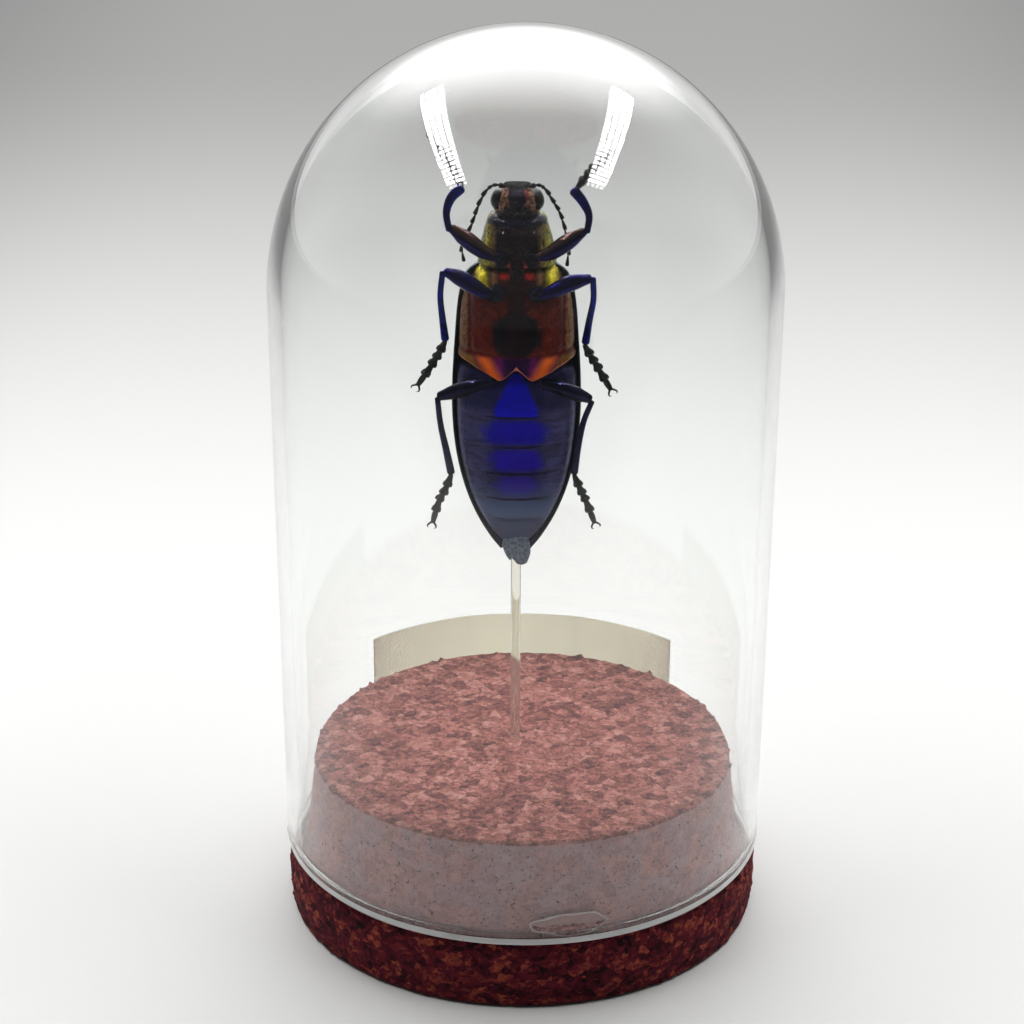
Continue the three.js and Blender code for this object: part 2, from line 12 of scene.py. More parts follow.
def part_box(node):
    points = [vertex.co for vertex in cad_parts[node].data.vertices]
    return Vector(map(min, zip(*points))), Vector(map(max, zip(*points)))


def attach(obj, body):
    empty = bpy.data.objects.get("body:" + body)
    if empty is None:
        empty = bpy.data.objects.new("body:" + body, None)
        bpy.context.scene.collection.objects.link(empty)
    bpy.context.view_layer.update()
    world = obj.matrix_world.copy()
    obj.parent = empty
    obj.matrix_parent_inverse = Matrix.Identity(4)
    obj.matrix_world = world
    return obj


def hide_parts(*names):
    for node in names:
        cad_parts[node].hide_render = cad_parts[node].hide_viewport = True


bl_info = {
    "name": "Beetle Under Glass",
    "version": (1, 0, 0),
    "blender": (4, 5, 0),
    "location": "View3D > Sidebar > Specimen",
    "description": "Makes a mounted jewel beetle, its glass dome, cork base, label and studio",
    "category": "Add Mesh",
}

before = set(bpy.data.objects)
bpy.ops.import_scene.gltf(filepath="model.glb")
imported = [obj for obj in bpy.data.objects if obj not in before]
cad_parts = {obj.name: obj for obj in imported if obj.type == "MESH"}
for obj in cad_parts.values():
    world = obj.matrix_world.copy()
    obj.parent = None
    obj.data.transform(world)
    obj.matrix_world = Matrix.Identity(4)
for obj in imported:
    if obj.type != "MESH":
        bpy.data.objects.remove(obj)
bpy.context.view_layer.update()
BODY = "root"

# Everything is modelled in millimetres and made metres when a piece is finished
MM = 0.001


def millimetres(length):
    return length / MM


# Places that the frame gives, in millimetres
GLASS_LOW, GLASS_HIGH = (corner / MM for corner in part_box("glass_dome"))
CORK_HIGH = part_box("cork_base")[1] / MM
LABEL_LOW, LABEL_HIGH = (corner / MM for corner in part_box("paper_label"))
ROD_LOW, ROD_HIGH = (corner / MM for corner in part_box("clear_rod"))
ROD_MIDDLE = (ROD_LOW + ROD_HIGH) / 2

# Sizes that the frame doesn't give, in millimetres
RIM_BEAD = 0.56
GROUND_FOOT = 0.17
FLANGE_TOP = 8.5
PLUG_FOOT_RADIUS = 27.2
PLUG_TOP_RADIUS = 25.7
PLUG_TOP = CORK_HIGH.z
PAPER_THICKNESS = 0.12
ROD_BEVEL = 0.08
GLUE_RADIUS = 27.5
GLUE_DEPTH = 0.17
GLUE_BEAD = 0.12
GLUE_BEAD_STEPS = 96
WELD = 0.0005

# The beetle has its own frame: it stands on the body's axis, at the height of the tail's tip
BEETLE_PLACE = Vector((-1, -0.5, 45))

# Trunk, wing cases, fore body and head, as rows of (height, half width, belly depth, back depth)
TRUNK = (
    (2.9, 1.5, 0.9, 0.9),
    (4.5, 3.0, 1.5, 1.4),
    (6.5, 4.2, 2.0, 2.0),
    (9.6, 5.5, 2.6, 2.7),
    (13.9, 6.55, 3.2, 3.3),
    (18.7, 7.05, 3.7, 3.7),
    (22.8, 7.05, 4.1, 3.9),
    (27.6, 6.8, 4.5, 3.8),
    (32, 6.5, 4.5, 3.4),
    (35, 5.8, 3.9, 2.8),
    (37.2, 4.5, 2.9, 2),
)
WING_CASES = (
    (1.9, 1.9, 0.9, 0.9),
    (3.3, 3.0, 1.6, 1.7),
    (6.2, 4.7, 2.6, 2.9),
    (9.7, 6.1, 3.4, 3.7),
    (14.1, 7.15, 4.0, 4.3),
    (18.8, 7.62, 4.2, 4.7),
    (23, 7.62, 4.3, 4.85),
    (27.7, 7.35, 4.3, 4.75),
    (33.6, 6.8, 4.0, 4.3),
    (36.2, 5.95, 3.4, 3.5),
    (37.3, 4.7, 2.6, 2.5),
)
FORE_BODY = (
    (37.4, 4.6, 3.3, 3.0),
    (39, 4.4, 3.7, 3.5),
    (40.6, 4.0, 3.6, 3.4),
    (42.3, 3.5, 3.2, 3.0),
    (43.4, 3.0, 2.4, 2.3),
)
HEAD = (
    (43.55, 2.7, 2.0, 1.9),
    (44.4, 2.75, 2.5, 2.1),
    (45.4, 2.6, 2.6, 2.0),
    (46.2, 2.1, 2.3, 1.1),
    (46.85, 1.3, 1.5, 0.3),
)
BELLY_FLATNESS = 2.4
BELLY_SEAMS = (6.7, 9.5, 12.9, 16.4, 20.2)
SEAM_BOW = 0.45

# Blue patches of the belly plates: lower and upper height, half width, colour and strength
BELLY_PATCHES = (
    (16.0, 19.7, 3.5, (0.006, 0.001, 0.32), 1.0),
    (12.5, 16.0, 2.7, (0.012, 0.002, 0.29), 1.0),
    (9.2, 12.5, 2.1, (0.022, 0.006, 0.23), 0.85),
    (5.5, 9.2, 1.5, (0.020, 0.026, 0.10), 0.5),
)

# Rear edge of the thorax, which covers the belly's root with two lobes, as (across, height)
THORAX_EDGE = (
    (-9, 27.2),
    (-6.1, 26.4),
    (-3.3, 25.2),
    (-1.9, 24.3),
    (0, 26),
    (1.8, 24.3),
    (3.2, 25),
    (6.2, 26.4),
    (9, 27.2),
)
THORAX_PROUD = 0.18
FLANK_HAIRS = 320

# Where each leg lies: the coxa's middle, and points along the femur, tibia and tarsus
LEGS = {
    "fore_left": {
        "coxa": (-1.6, -3.5, 38.7),
        "femur": ((-2.6, -3.8, 39), (-4, -3.8, 39.7), (-5.8, -3.8, 41.1), (-7.4, -3.7, 42.3)),
        "tibia": ((-7.7, -3.7, 42.1), (-8, -3.5, 44), (-7.5, -3.2, 45.6), (-6.4, -2.9, 46.7)),
        "tarsus": ((-6.3, -2.8, 46.9), (-6.9, -2.6, 48.3), (-8, -2.4, 49.9), (-9.4, -2.1, 52.2)),
    },
    "fore_right": {
        "coxa": (1.6, -3.5, 38.7),
        "femur": ((2.3, -3.8, 39), (3.8, -3.8, 39.5), (5.7, -3.8, 40.8), (7.5, -3.7, 42)),
        "tibia": ((7.9, -3.7, 42), (8.1, -3.5, 43.8), (7.4, -3.2, 45.3), (6.4, -2.9, 46.5)),
        "tarsus": ((6.7, -2.8, 46.8), (7.8, -2.6, 48.1), (8.7, -2.4, 49.2), (10.5, -2.1, 50.6)),
    },
    "mid_left": {
        "coxa": (-2.5, -3.9, 34.7),
        "femur": ((-2.9, -4.1, 34.4), (-4.3, -4, 35.2), (-6.3, -3.5, 36.3), (-8.1, -3, 37)),
        "tibia": ((-8.5, -3, 36.9), (-8.8, -2.7, 34.1), (-8.6, -2.4, 31.4), (-8.3, -2.2, 28.7)),
        "tarsus": ((-8.3, -2.1, 28.4), (-9.1, -2, 26.8), (-10, -2, 25.4), (-11.5, -2.1, 23.2)),
    },
    "mid_right": {
        "coxa": (2.4, -3.9, 34.7),
        "femur": ((2.6, -4.1, 34.4), (4.2, -4, 35.1), (6.2, -3.5, 35.9), (8.3, -3, 36.3)),
        "tibia": ((8.7, -3, 36.3), (8.8, -2.7, 33.7), (8.4, -2.4, 31.2), (8, -2.2, 28.4)),
        "tarsus": ((7.9, -2.1, 28), (8.8, -2, 26.4), (9.7, -2, 25), (11, -2.1, 22.8)),
    },
    "hind_left": {
        "coxa": (-2.6, -3.9, 24.2),
        "femur": ((-3, -4.2, 24.3), (-4.9, -4.1, 23.8), (-7, -3.5, 22.9), (-8.9, -2.9, 22.1)),
        "tibia": ((-9.2, -2.9, 21.8), (-8.9, -2.5, 18.6), (-8.3, -2.1, 15.4), (-7.7, -1.8, 12.2)),
        "tarsus": ((-7.7, -1.7, 11.8), (-8.4, -1.6, 9.9), (-9.2, -1.6, 8.4), (-9.9, -1.7, 5.8)),
    },
    "hind_right": {
        "coxa": (2.6, -3.9, 24.2),
        "femur": ((3, -4.2, 24.2), (5, -4.1, 23.6), (6.9, -3.5, 22.7), (8.5, -2.9, 21.9)),
        "tibia": ((8.8, -2.9, 21.5), (7.9, -2.5, 18.9), (7.3, -2.1, 15.7), (6.9, -1.8, 12.3)),
        "tarsus": ((6.9, -1.7, 11.9), (7.7, -1.6, 10), (8.4, -1.6, 8.5), (9.4, -1.7, 5.9)),
    },
}

# Size of each hip, and half widths at the points along the femur and the tibia
LEG_PAIRS = {
    "fore": {"coxa": 0.85, "femur": (0.5, 0.86, 0.98, 0.55), "tibia": (0.38, 0.42, 0.55, 0.62)},
    "mid": {"coxa": 1.1, "femur": (0.5, 0.88, 0.98, 0.55), "tibia": (0.36, 0.36, 0.4, 0.48)},
    "hind": {"coxa": 0.6, "femur": (0.5, 0.82, 0.9, 0.55), "tibia": (0.34, 0.36, 0.42, 0.48)},
}
LEG_FLATNESS = 0.85

# A claw's bend, as (share of its length, how far out, half width)
CLAW = ((0, 0.08, 0.15), (0.3, 0.36, 0.14), (0.62, 0.52, 0.11), (0.85, 0.5, 0.075), (1, 0.34, 0.03))

# Points along each antenna from its root
ANTENNAE = {
    "antenna_left": (
        (-1.3, -2.0, 46.75),
        (-2.5, -1.9, 46.9),
        (-3.4, -1.6, 46.3),
        (-4.3, -1.1, 44.6),
        (-4.9, -0.6, 42.8),
        (-5.5, -0.1, 41.1),
        (-6.4, 0.6, 39),
        (-6.1, 1.3, 37),
    ),
    "antenna_right": (
        (1.3, -2.0, 46.75),
        (2.4, -1.9, 46.9),
        (3.1, -1.6, 46.4),
        (4, -1.1, 44.9),
        (4.8, -0.6, 43.4),
        (5.4, -0.1, 41.4),
        (5.9, 0.6, 38.8),
        (5.7, 1.3, 36.5),
    ),
}
ANTENNA_SEGMENTS = 11
TARSUS_SEGMENTS = 5


def length_setting(name, description, default):
    return FloatProperty(name=name, description=description, default=default, unit="LENGTH")


def colour_setting(name, description, default):
    return FloatVectorProperty(name=name, description=description, default=default, subtype="COLOR")


def number_setting(name, description, default):
    return FloatProperty(name=name, description=description, default=default)


class CaseSettings(PropertyGroup):
    """Sizes and colours of the dome, the cork, the label and the rod."""

    glass_radius: length_setting(
        "Glass radius", "Outside radius of the dome at its shoulder", GLASS_HIGH.x * MM
    )
    glass_shoulder: length_setting(
        "Glass shoulder", "Height at which the wall turns into the rounded top", 0.079
    )
    glass_wall: length_setting("Glass wall", "Thickness of the blown glass", 0.0016)
    glass_rim_radius: length_setting(
        "Glass rim radius", "Outside radius of the dome at its open foot", 0.0296
    )
    glass_tint: colour_setting("Glass tint", "Colour that light keeps in the glass", (0.985, 0.995, 0.99))
    cork_granule: length_setting("Cork granule", "Width of the larger cork granules", 0.0014)
    cork_light: colour_setting("Cork light", "Colour of the palest granules", (0.76, 0.265, 0.220))
    cork_middle: colour_setting("Cork middle", "Colour of most granules", (0.44, 0.125, 0.105))
    cork_dark: colour_setting("Cork dark", "Colour of the dark granules and pits", (0.12, 0.026, 0.028))
    paper_colour: colour_setting("Paper", "Colour of the label's back", (1.0, 0.965, 0.80))
    rod_tint: colour_setting("Rod tint", "Colour that light keeps in the rod", (0.98, 0.955, 0.87))
    turns: IntProperty(
        name="Segments",
        description="Segments round the turned pieces",
        default=160,
        min=32,
    )


class BeetleSettings(PropertyGroup):
    """Colours and fine sizes of the beetle."""

    belly_blue: colour_setting("Belly blue", "Ultramarine in the middle of the belly", (0.002, 0.002, 0.42))
    belly_grey: colour_setting("Belly grey", "Grey-purple at the belly's sides", (0.055, 0.052, 0.165))
    thorax_red: colour_setting("Thorax red", "Dark red of the rear thorax", (0.13, 0.009, 0.004))
    # Colour of a painted highlight: the orange-red streak along the thorax's rear lobes
    glow_highlight_orange: colour_setting(
        "Glow orange", "Orange-red glow along the thorax's rear edge", (1.0, 0.17, 0.02)
    )
    gold: colour_setting("Gold", "Golden-yellow patches at the shoulders", (1.0, 0.82, 0.03))
    leg_blue: colour_setting("Leg blue", "Blue-violet of the legs", (0.004, 0.002, 0.088))
    wing_blue: colour_setting("Wing blue", "Blue-teal of the wing cases", (0.008, 0.055, 0.16))
    neck_green: colour_setting("Neck green", "Green-gold of the prothorax", (0.50, 0.46, 0.04))
    cheek_copper: colour_setting("Cheek copper", "Coppery pink of the cheeks", (0.50, 0.23, 0.15))
    hair_tan: colour_setting("Hair tan", "Colour of the fine hair on the thorax", (0.30, 0.19, 0.09))
    hair_length: length_setting("Hair length", "Length of the longest body hairs", 0.0006)


class StudioSettings(PropertyGroup):
    """The floor, the lights and the camera."""

    floor_colour: colour_setting("Floor", "Colour of the pale floor", (0.49, 0.49, 0.485))
    table_colour: colour_setting(
        "Table", "Colour of the dark table in front of the white sheet", (0.015, 0.015, 0.017)
    )
    sky: number_setting("Sky", "Strength of the even light from above and behind", 0.75)
    sky_front: number_setting("Front sky", "Strength of the even light from the camera's side", 0.11)
    overhead: number_setting("Overhead", "Strength that the sky gains above and behind the specimen", 3.6)
    strip: number_setting("Lamp strips", "Glow of the small lamps in the two side strips", 38)
    lens: number_setting("Lens", "Focal length in millimetres", 86.28)


def operation(name, swapped=False):
    """A method that adds, subtracts, multiplies or divides a tone and another tone or number."""

    def calculate(tone, other):
        values = (other, tone) if swapped else (tone, other)
        return tone.shader.math(name, *values)

    return calculate


class Tone:
    """A number in a shader. Sums and products of tones add the Math nodes for them."""

    __add__, __radd__ = operation("ADD"), operation("ADD", True)
    __sub__, __rsub__ = operation("SUBTRACT"), operation("SUBTRACT", True)
    __mul__, __rmul__ = operation("MULTIPLY"), operation("MULTIPLY", True)
    __truediv__ = operation("DIVIDE")

    def __init__(self, shader, socket):
        self.shader = shader
        self.socket = socket

    def __abs__(self):
        return self.shader.math("ABSOLUTE", self)

    def rise(self, low, high):
        """0 below low and 1 above high, with a soft step between. It falls where low is above high."""
        if low < high:
            return self.shader.soft_step(self, low, high)
        return 1 - self.shader.soft_step(self, high, low)

    def near(self, middle, reach):
        """1 at middle, and 0 further from it than reach."""
        return abs(self - middle).rise(reach, 0)


class Nodes:
    """Adds nodes to a tree and plugs values, tones and sockets into them."""

    def __init__(self, tree):
        self.tree = tree

    def node(self, kind, settings=None, sockets=None):
        made = self.tree.nodes.new(kind)
        for name, value in (settings or {}).items():
            if name == "stops":
                self.set_stops(made.color_ramp, value)
            else:
                setattr(made, name, value)
        for name, value in (sockets or {}).items():
            self.plug(made.inputs[name], value)
        return made

    def set_stops(self, ramp, stops):
        while len(ramp.elements) < len(stops):
            ramp.elements.new(1)
        for element, (position, colour) in zip(ramp.elements, stops):
            element.position = position
            element.color = (*colour, 1)

    def plug(self, socket, value):
        if isinstance(value, Tone):
            value = value.socket
        if isinstance(value, bpy.types.NodeSocket):
            self.tree.links.new(value, socket)
        elif socket.type == "RGBA" and len(value) == 3:
            socket.default_value = (*value, 1)
        else:
            socket.default_value = value

    def math(self, operation, *values):
        made = self.node("ShaderNodeMath", {"operation": operation}, dict(enumerate(values)))
        return Tone(self, made.outputs[0])

    def soft_step(self, value, low, high):
        sockets = {"Value": value, "From Min": low, "From Max": high}
        made = self.node("ShaderNodeMapRange", {"interpolation_type": "SMOOTHSTEP"}, sockets)
        return Tone(self, made.outputs["Result"])


class Shader(Nodes):
    """A Principled material whose patterns are laid out in millimetres from a place."""

    def __init__(self, name, origin=(0, 0, 0)):
        self.material = bpy.data.materials.new(name)
        self.material.use_nodes = True
        super().__init__(self.material.node_tree)
        self.surface = self.tree.nodes["Principled BSDF"]
        place = self.node("ShaderNodeTexCoord").outputs["Object"]
        sockets = {"Vector": place, "Scale": (1 / MM,) * 3, "Location": tuple(-Vector(origin))}
        self.place = self.node("ShaderNodeMapping", None, sockets).outputs["Vector"]
        parts = self.node("ShaderNodeSeparateXYZ", None, {"Vector": self.place})
        self.x, self.y, self.z = (Tone(self, parts.outputs[axis]) for axis in "XYZ")

    def mix(self, share, first, second):
        """A colour between two colours. Share is a tone or a number."""
        made = self.node("ShaderNodeMix", {"data_type": "RGBA"}, {0: share, 6: first, 7: second})
        return made.outputs[2]

    def layers(self, base, *covers):
        """A base colour with (mask, colour) covers laid over it in order."""
        colour = base
        for mask, cover in covers:
            colour = self.mix(mask, colour, cover)
        return colour

    def ramp(self, value, *stops):
        """Colours along a value, from (value, colour) stops."""
        return self.node("ShaderNodeValToRGB", {"stops": stops}, {"Fac": value}).outputs["Color"]

    def noise(self, scale, detail=3, roughness=0.55, stretch=None):
        """Cloudy noise from 0 to 1, with so many clouds to the millimetre."""
        sockets = {"Vector": self.stretched(stretch), "Scale": scale, "Detail": detail}
        sockets["Roughness"] = roughness
        return Tone(self, self.node("ShaderNodeTexNoise", None, sockets).outputs["Fac"])

    def voronoi(self, scale, stretch=None, place=None, feature="F1"):
        sockets = {"Vector": self.stretched(stretch, place), "Scale": scale}
        return self.node("ShaderNodeTexVoronoi", {"feature": feature}, sockets).outputs

    def cells(self, *layout):
        """A random number from 0 to 1 for each cell, from its scale, stretch and place."""
        parts = self.node("ShaderNodeSeparateColor", None, {"Color": self.voronoi(*layout)["Color"]})
        return Tone(self, parts.outputs[0])

    def edges(self, *layout):
        """The distance from the border between cells."""
        return Tone(self, self.voronoi(*layout, feature="DISTANCE_TO_EDGE")["Distance"])

    def pits(self, scale, size=0.32):
        """Masks of the round pits in insect cuticle: 1 in a pit."""
        return Tone(self, self.voronoi(scale)["Distance"]).rise(size, size * 0.45)

    def stretched(self, stretch, place=None):
        if stretch is None:
            return place or self.place
        sockets = {"Vector": place or self.place, "Scale": stretch}
        return self.node("ShaderNodeMapping", None, sockets).outputs["Vector"]

    def warped(self, reach, scale):
        """The place, pushed about by cloudy noise by up to half the reach, in millimetres."""
        cloud = self.node("ShaderNodeTexNoise", None, {"Vector": self.place, "Scale": scale, "Detail": 3})
        sockets = {0: cloud.outputs["Color"], 1: (reach,) * 3, 2: self.place}
        return self.node("ShaderNodeVectorMath", {"operation": "MULTIPLY_ADD"}, sockets).outputs[0]

    def bump(self, height, depth):
        """A normal from a height of 0 to 1 that stands for a depth in millimetres."""
        return self.node("ShaderNodeBump", None, {"Height": height, "Distance": depth * MM}).outputs["Normal"]

    def finish(self, **sockets):
        """Plugs the named sockets of the surface, and gives the material back."""
        for name, value in sockets.items():
            self.plug(self.surface.inputs[name.replace("_", " ").title().replace("Ior", "IOR")], value)
        return self.material

    def shine(self, base, metallic, roughness, coat, height, depth):
        """Finishes a cuticle whose surface is as rough as a depth in millimetres."""
        shape = {"coat_weight": coat, "normal": self.bump(height, depth)}
        return self.finish(base_color=base, metallic=metallic, roughness=roughness, **shape)


def scaled(colour, factor):
    return tuple(channel * factor for channel in colour)


def between(rows, height):
    """Smooth sizes at a height, from rows of (height, size, size, ...)."""
    last = len(rows) - 2
    span = min(max(sum(row[0] <= height for row in rows) - 1, 0), last)
    low, high = rows[span], rows[span + 1]
    before, after = rows[max(span - 1, 0)], rows[min(span + 2, last + 1)]
    width = high[0] - low[0]
    share = min(max((height - low[0]) / width, 0), 1)
    square, cube = share**2, share**3
    sizes = []
    for k in range(1, len(low)):
        slope_low = (high[k] - before[k]) / (high[0] - before[0]) * width
        slope_high = (after[k] - low[k]) / (after[0] - low[0]) * width
        sizes.append(
            low[k] * (2 * cube - 3 * square + 1)
            + slope_low * (cube - 2 * square + share)
            + high[k] * (3 * square - 2 * cube)
            + slope_high * (cube - square)
        )
    return sizes


def steps(low, high, count):
    return [low + (high - low) * i / count for i in range(count + 1)]


def soft(value, low, high):
    """0 at low and 1 at high, with a soft step between."""
    share = min(max((value - low) / (high - low), 0), 1)
    return share * share * (3 - 2 * share)


def hill(value, middle, reach):
    """1 at middle, and 0 further from it than reach."""
    return soft(reach - abs(value - middle), 0, reach)


def skin(bm, sections, sides):
    """Draws a closed skin up from a circle. Each section gives a place for every turn round it."""
    turns = bm.verts.layers.float.get("turn") or bm.verts.layers.float.new("turn")
    ring = bmesh.ops.create_circle(bm, cap_ends=False, radius=1, segments=sides)["verts"]
    for vert in ring:
        vert[turns] = math.atan2(vert.co.x, vert.co.y)
    edges = list({edge for vert in ring for edge in vert.link_edges})
    first = edges
    for number, section in enumerate(sections):
        if number:
            drawn = bmesh.ops.extrude_edge_only(bm, edges=edges)["geom"]
            ring = [item for item in drawn if isinstance(item, bmesh.types.BMVert)]
            ends = set(ring)
            edges = [
                item
                for item in drawn
                if isinstance(item, bmesh.types.BMEdge) and ends.issuperset(item.verts)
            ]
        for vert in ring:
            vert.co = section(vert[turns])
    bmesh.ops.contextual_create(bm, geom=first)
    bmesh.ops.contextual_create(bm, geom=edges)


def body_section(rows, height, grow=0, proud=0, bow=0, level=None):
    """A level ring of the body. The belly, at -Y, is squarer than the back and may bow tailwards."""

    def place(turn):
        across, deep = math.sin(turn), math.cos(turn)
        power = 2 / BELLY_FLATNESS if deep < 0 else 1
        share = math.copysign(abs(across) ** power, across)
        stand = height
        if level is not None:
            stand = level(share * between(rows, height)[0])
        half_width, belly, back = between(rows, stand)
        depth, lift = (belly + proud, -bow * (1 - share * share)) if deep < 0 else (back, 0)
        y = math.copysign(abs(deep) ** power, deep) * (depth + grow)
        return Vector((share * (half_width + grow), y, stand + lift))

    return place


def barrel(rows, rings, sides):
    """A closed skin through level rings of a part of the body, as (share of its height, growth)."""
    low, high = rows[0][0], rows[-1][0]
    bm = bmesh.new()
    skin(bm, [body_section(rows, low + (high - low) * share, grow) for share, grow in rings], sides)
    return bm


def route_rows(route):
    """Rows for the places of a route, by their share of its length."""
    return [(number / (len(route) - 1), *place) for number, place in enumerate(route)]


def heading(rows, start, end):
    """The place at the end share of a route, the way to it from the start share, and the way across."""
    place = Vector(between(rows, end)[:3])
    along = (place - Vector(between(rows, start)[:3])).normalized()
    return place, along, along.cross(Vector((0, 1, 0))).normalized()


def limb(bm, points, sides=12, rings=12, blunt=0.6):
    """A rounded limb through points of (x, y, z, half width, half depth)."""
    rows = route_rows(points)
    sections = []

    def add(share, shift, size):
        x, y, z, half_width, half_depth = between(rows, share)
        _, along, wide = heading(rows, max(share - 0.02, 0), min(share + 0.02, 1))
        deep = wide.cross(along)
        middle = Vector((x, y, z)) + along * shift * half_width

        def place(turn):
            out = deep * math.cos(turn) * half_depth - wide * math.sin(turn) * half_width
            return middle + out * size

        sections.append(place)

    for turn in (80, 50, 22):
        add(0, -blunt * math.sin(math.radians(turn)), math.cos(math.radians(turn)))
    for share in steps(0, 1, rings):
        add(share, 0, 1)
    for turn in (22, 50, 80):
        add(1, blunt * math.sin(math.radians(turn)), math.cos(math.radians(turn)))
    skin(bm, sections, sides)


def ball(bm, middle, size, segments=20, turned=None):
    """A ball of three half sizes, added to a mesh. Gives its vertices back."""
    shape = Matrix.Translation(middle) @ (turned or Matrix()) @ Matrix.Diagonal((*size, 1))
    sides = {"u_segments": segments, "v_segments": segments // 2 + 2}
    return bmesh.ops.create_uvsphere(bm, radius=1, matrix=shape, **sides)["verts"]


def hair(bm, root, tip, half_width, taper=0.2):
    """One hair: a thin cone with three sides."""
    along = tip - root
    shape = Matrix.Translation((root + tip) / 2) @ along.to_track_quat("Z", "Y").to_matrix().to_4x4()
    ends = {"radius1": half_width, "radius2": half_width * taper, "depth": along.length}
    bmesh.ops.create_cone(bm, cap_ends=True, cap_tris=True, segments=3, matrix=shape, **ends)


def jitter(seed):
    """Three steady random numbers from -1 to 1 for a seed."""
    return noise.cell_vector(Vector((seed * 1.37, seed * 0.71, 3.1))) * 2 - Vector((1, 1, 1))


def sculpt(bm, push):
    """Moves every vertex along its normal by the push in millimetres for its place."""
    bm.normal_update()
    moves = [(vert, vert.normal * push(vert.co)) for vert in bm.verts]
    for vert, move in moves:
        vert.co += move


def dents(rows, x, z):
    """The push of soft dents and swellings, as (push, x, reach in x, z, reach in z)."""
    return sum(push * hill(x, across, wide) * hill(z, up, tall) for push, across, wide, up, tall in rows)


def faces_of(verts):
    return {face for vert in verts for face in vert.link_faces}


def second_material(faces):
    for face in faces:
        face.material_index = 1


def new_object(name, bm, materials):
    """Makes an object of a mesh and links it to the scene."""
    mesh = bpy.data.meshes.new(name)
    bm.to_mesh(mesh)
    bm.free()
    for material in materials:
        mesh.materials.append(material)
    made = bpy.data.objects.new(name, mesh)
    bpy.context.scene.collection.objects.link(made)
    return made


def add_piece(name, bm, materials, nodes, origin=(0, 0, 0), levels=0):
    """Makes an object of a mesh in millimetres, in place of its nodes in the frame."""
    bmesh.ops.remove_doubles(bm, verts=bm.verts, dist=WELD)
    bmesh.ops.recalc_face_normals(bm, faces=bm.faces)
    bmesh.ops.translate(bm, verts=bm.verts, vec=Vector(origin))
    bmesh.ops.scale(bm, verts=bm.verts, vec=(MM, MM, MM))
    for face in bm.faces:
        face.smooth = True
    piece = new_object(name, bm, materials)
    if levels:
        smoother = piece.modifiers.new("smooth", "SUBSURF")
        smoother.levels = smoother.render_levels = levels
    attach(piece, BODY)
    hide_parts(*nodes)


def add_cuticle(name, bm, materials, node):
    """A smoothed piece of the beetle."""
    add_piece(name, bm, materials, [node], BEETLE_PLACE, 1)


def turned_mesh(profile, turns):
    """A turned mesh from a profile of (radius, height), closed on itself or on the axis."""
    bm = bmesh.new()
    verts = [bm.verts.new((radius, 0, height)) for radius, height in profile]
    edges = [bm.edges.new(pair) for pair in zip(verts, verts[1:])]
    round_axis = {"axis": (0, 0, 1), "cent": (0, 0, 0), "angle": math.tau}
    bmesh.ops.spin(bm, geom=verts + edges, steps=turns, use_merge=True, **round_axis)
    bmesh.ops.remove_doubles(bm, verts=bm.verts, dist=WELD)
    return bm


# Glass dome


def glass_material(case):
    sockets = {"roughness": 0.0, "ior": 1.5, "transmission_weight": 1.0}
    return Shader("clear_glass").finish(base_color=tuple(case.glass_tint), **sockets)


def ground_glass_material():
    """The foot of the glass is ground flat, and is pale where it catches the light of the floor."""
    return Shader("ground_glass").finish(base_color=(0.97, 0.97, 0.96), roughness=0.3)


def make_glass_dome(case):
    radius = millimetres(case.glass_radius)
    wall = millimetres(case.glass_wall)
    rim_radius = millimetres(case.glass_rim_radius)
    shoulder = millimetres(case.glass_shoulder)
    foot = GLASS_LOW.z
    rise = GLASS_HIGH.z - shoulder
    cap_turns = [math.radians(turn) for turn in steps(0, 90, 30)]

    def cap(inset):
        return [
            ((radius - inset) * math.cos(turn), shoulder + (rise - inset) * math.sin(turn))
            for turn in cap_turns
        ]

    def wall_line(inset):
        low = foot + wall * 1.6
        return [
            (rim_radius - inset + (radius - rim_radius) * share, low + (shoulder - low) * share)
            for share in steps(0, 1, 10)[:-1]
        ]

    thick = wall * RIM_BEAD
    bead = [
        (rim_radius - wall / 2 + thick * math.sin(turn), foot + thick - thick * math.cos(turn))
        for turn in (math.radians(step) for step in steps(-125, 125, 14))
    ]
    inside = list(reversed(wall_line(wall) + cap(wall)))
    outside = wall_line(0) + cap(0)
    bm = turned_mesh(inside + bead + outside, case.turns)
    ground = foot + wall * GROUND_FOOT
    second_material([face for face in bm.faces if face.calc_center_median().z < ground])
    materials = [glass_material(case), ground_glass_material()]
    add_piece("glass_dome_blown", bm, materials, ["glass_dome"])


# Cork base


